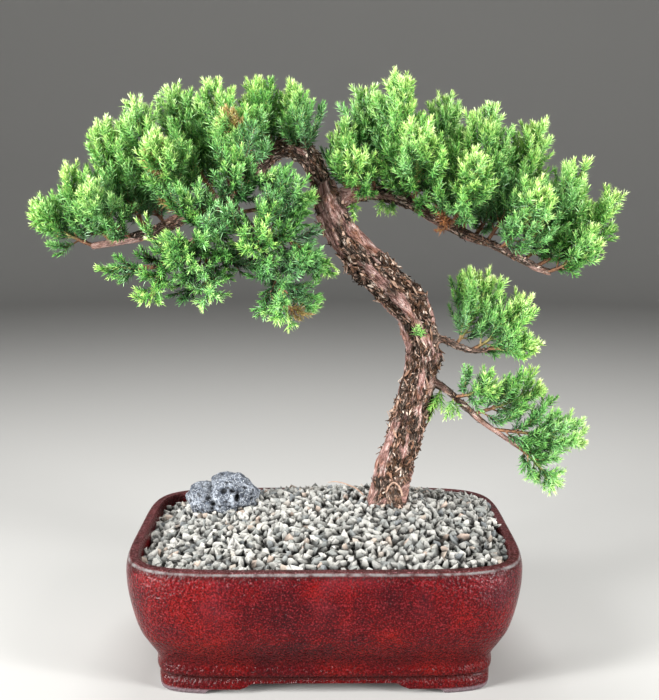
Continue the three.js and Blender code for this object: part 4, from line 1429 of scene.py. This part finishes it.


# The lines of one spray: its axis, its branches and their shoots, each with thickness and freshness, which
# is low deep inside the spray, partly for older needles and partly as painted shade.
def growSpray(base, tip, settings, fullness, seed):
    draw = np.random.default_rng(seed)
    tip = tip - (tip - base) / np.linalg.norm(tip - base) * settings["tipRoom"]
    bend = np.array([*(base[:2] * 0.4 + tip[:2] * 0.6), base[2] * 0.66 + tip[2] * 0.34])
    count = max(10, int(np.linalg.norm(tip - base) / 5))
    axis = bezier(base, bend, tip, count)
    length = np.linalg.norm(np.diff(axis, axis=0), axis=1).sum()
    ahead, sides, ups = framesAlong(axis)
    reach = np.linspace(0, 1, count)
    thick = settings["stem"] * (1 - settings["stemTaper"] * reach)
    lines = [{"points": axis, "thick": thick, "fresh": 0.1 + 0.9 * reach ** 1.5,
              "bare": (reach < settings["bareStem"]) * 1.0, "dead": 0.0}]
    steps = np.linspace(0, 1, 5)
    distance = settings["firstBranch"] * length
    turn = draw.uniform(0, 2 * math.pi)
    while distance < length - 4:
        share = distance / length
        foot, i = pointAt(axis, share)
        size = min(settings["longestBranch"],
                   settings["branchReach"] * (length - distance) + settings["branchLeast"])
        size *= fullness * draw.uniform(*settings["branchSizes"])
        lean = math.radians(settings["branchLean"] * draw.uniform(*settings["leans"]) * (1.1 - 0.35 * share))
        direction = aimed(ahead[i], sides[i], ups[i], turn, lean)
        middle, end = bendsOf(foot, direction, ahead[i], size, settings["branchBends"])
        turn += goldenTurn + draw.uniform(-0.3, 0.3)
        distance += settings["branchGap"] * draw.uniform(*settings["gaps"])
        if isInWood(middle, 2) or isInWood(end, 3) or isInWindow(end, settings["windows"]):
            continue
        branch = bezier(foot, middle, end, 5)
        old, young = 0.12 + 0.3 * share, 0.3 + 0.7 * share
        dead = float(draw.uniform() < settings["deadShare"] * (2.2 if share < 0.6 else 0.4))
        brown = min(np.linalg.norm(end - spot) for spot in settings["brownSpots"])
        dead = max(dead, 0.8 * (brown < settings["brownReach"]))
        fresh = old + (young - old) * steps ** 1.3
        lines.append({"points": branch, "thick": 0.75 - 0.4 * steps, "fresh": fresh,
                      "bare": (steps * size < settings["bareBranch"]) * 1.0, "dead": dead})
        lines += growShoots(branch, size, fresh, young, dead, settings, draw)
    return lines


# A few short shoots from one foot, around the way to the tip.
def growSprig(foot, tip, seed):
    draw = np.random.default_rng(seed)
    ahead = (tip - foot) / np.linalg.norm(tip - foot)
    lines = []
    for shoot in range(4):
        sway = draw.uniform(-0.5, 0.5, 3) * min(shoot, 1)
        end = foot + (ahead + sway) * np.linalg.norm(tip - foot) * draw.uniform(0.75, 1.0)
        steps = np.linspace(0, 1, 3)
        lines.append({"points": bezier(foot, (foot + end) / 2 + ahead, end, 3),
                      "thick": 0.45 - 0.15 * steps, "fresh": 0.45 + 0.3 * steps,
                      "bare": (steps < 0.4) * 1.0, "dead": 0.0})
    return lines


def skeletonPiece(name, lines):
    points, edges = [], []
    values = {"thick": [], "fresh": [], "bare": [], "dead": []}
    for line in lines:
        start = len(points)
        count = len(line["points"])
        points += (line["points"] * mm).tolist()
        edges += [(start + i, start + i + 1) for i in range(count - 1)]
        values["thick"] += list(line["thick"] * mm)
        values["fresh"] += list(line["fresh"])
        values["bare"] += list(line["bare"])
        values["dead"] += [line["dead"]] * count
    mesh = bpy.data.meshes.new(name)
    mesh.from_pydata(points, edges, [])
    piece = addPiece(name, mesh)
    for label, numbers in values.items():
        keepValues(piece, label, numbers)
    return piece


def growNeedles(piece, tree, settings, length, leans, seed, finishes):
    foot, tip = leans
    runNodes(piece, tree, {
        "Whorl Gap": settings["whorlGap"], "Needle Length": length, "Needle Width": settings["needleWidth"],
        "Lean At Foot": math.radians(foot), "Lean At Tip": math.radians(tip), "Seed": seed, **finishes})


def makeFoliage(settings):
    tree = needledShootsTree()
    finishes = {"Needle Finish": needleFinish(), "Stem Finish": twigFinish()}
    seed, total = 0, 0
    for padName, (limb, first, last, tips) in pads.items():
        shade = settings["shade"].get(padName, 0.0)
        for i, tip in enumerate(tips):
            seed += 1
            number = f"{i + 1:02d}"
            base, _ = pointAt(limbLines[limb][:, :3], first + (last - first) * i / (len(tips) - 1))
            fullness = settings["fullness"].get(padName, 1.0)
            fullness = settings["fullness"].get(f"{padName}_{number}", fullness)
            lines = growSpray(base, np.array(tip, float), settings, fullness, seed)
            for grown in lines:
                # the pad's painted shade, below zero, and painted light, above zero, join the freshness
                grown["fresh"] = np.clip(grown["fresh"] + shade, 0, 1)
            piece = skeletonPiece(f"foliage_{padName}_{number}", lines)
            length, leans = settings["needleLength"], settings["needleLeans"]
            growNeedles(piece, tree, settings, length, leans, seed, finishes)
            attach(piece, "root")
            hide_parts(f"{padName}_spray_{number}")
            total += sum(len(face.vertices) - 2 for face in piece.data.polygons)
        print("foliage of", padName, "made")

    lines = []
    for foot, tip, sprigSeed in settings["sprigs"]:
        lines += growSprig(np.array(foot, float), np.array(tip, float), sprigSeed)
    piece = skeletonPiece("foliage_sprigs", lines)
    length, leans = settings["sprigNeedle"], settings["sprigLeans"]
    growNeedles(piece, tree, settings, length, leans, seed + 1, finishes)
    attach(piece, "root")
    print("foliage pieces", seed, "triangles", total)


def makeRootlets(settings, finish):
    turns = np.linspace(0, 2 * np.pi, settings["sides"], endpoint=False)
    tubes = []
    for path in settings["paths"]:
        line = curveThrough(path, settings["step"])
        _, sides, ups = framesAlong(line)
        rings = [
            row[:3] + row[3] * (np.outer(np.cos(turns), side) + np.outer(np.sin(turns), up))
            for row, side, up in zip(line, sides, ups)
        ]
        tubes.append(loft(np.array(rings) * mm))
    points, faces = joinLofts(tubes)
    piece = meshPiece("rootlets", points, faces, [finish])
    outwards(piece)
    keepValues(piece, "tint", np.full(len(points), settings["tint"]))
    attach(piece, "root")


makeFoliage(foliage)
makeRootlets(rootlets, peelingBark)
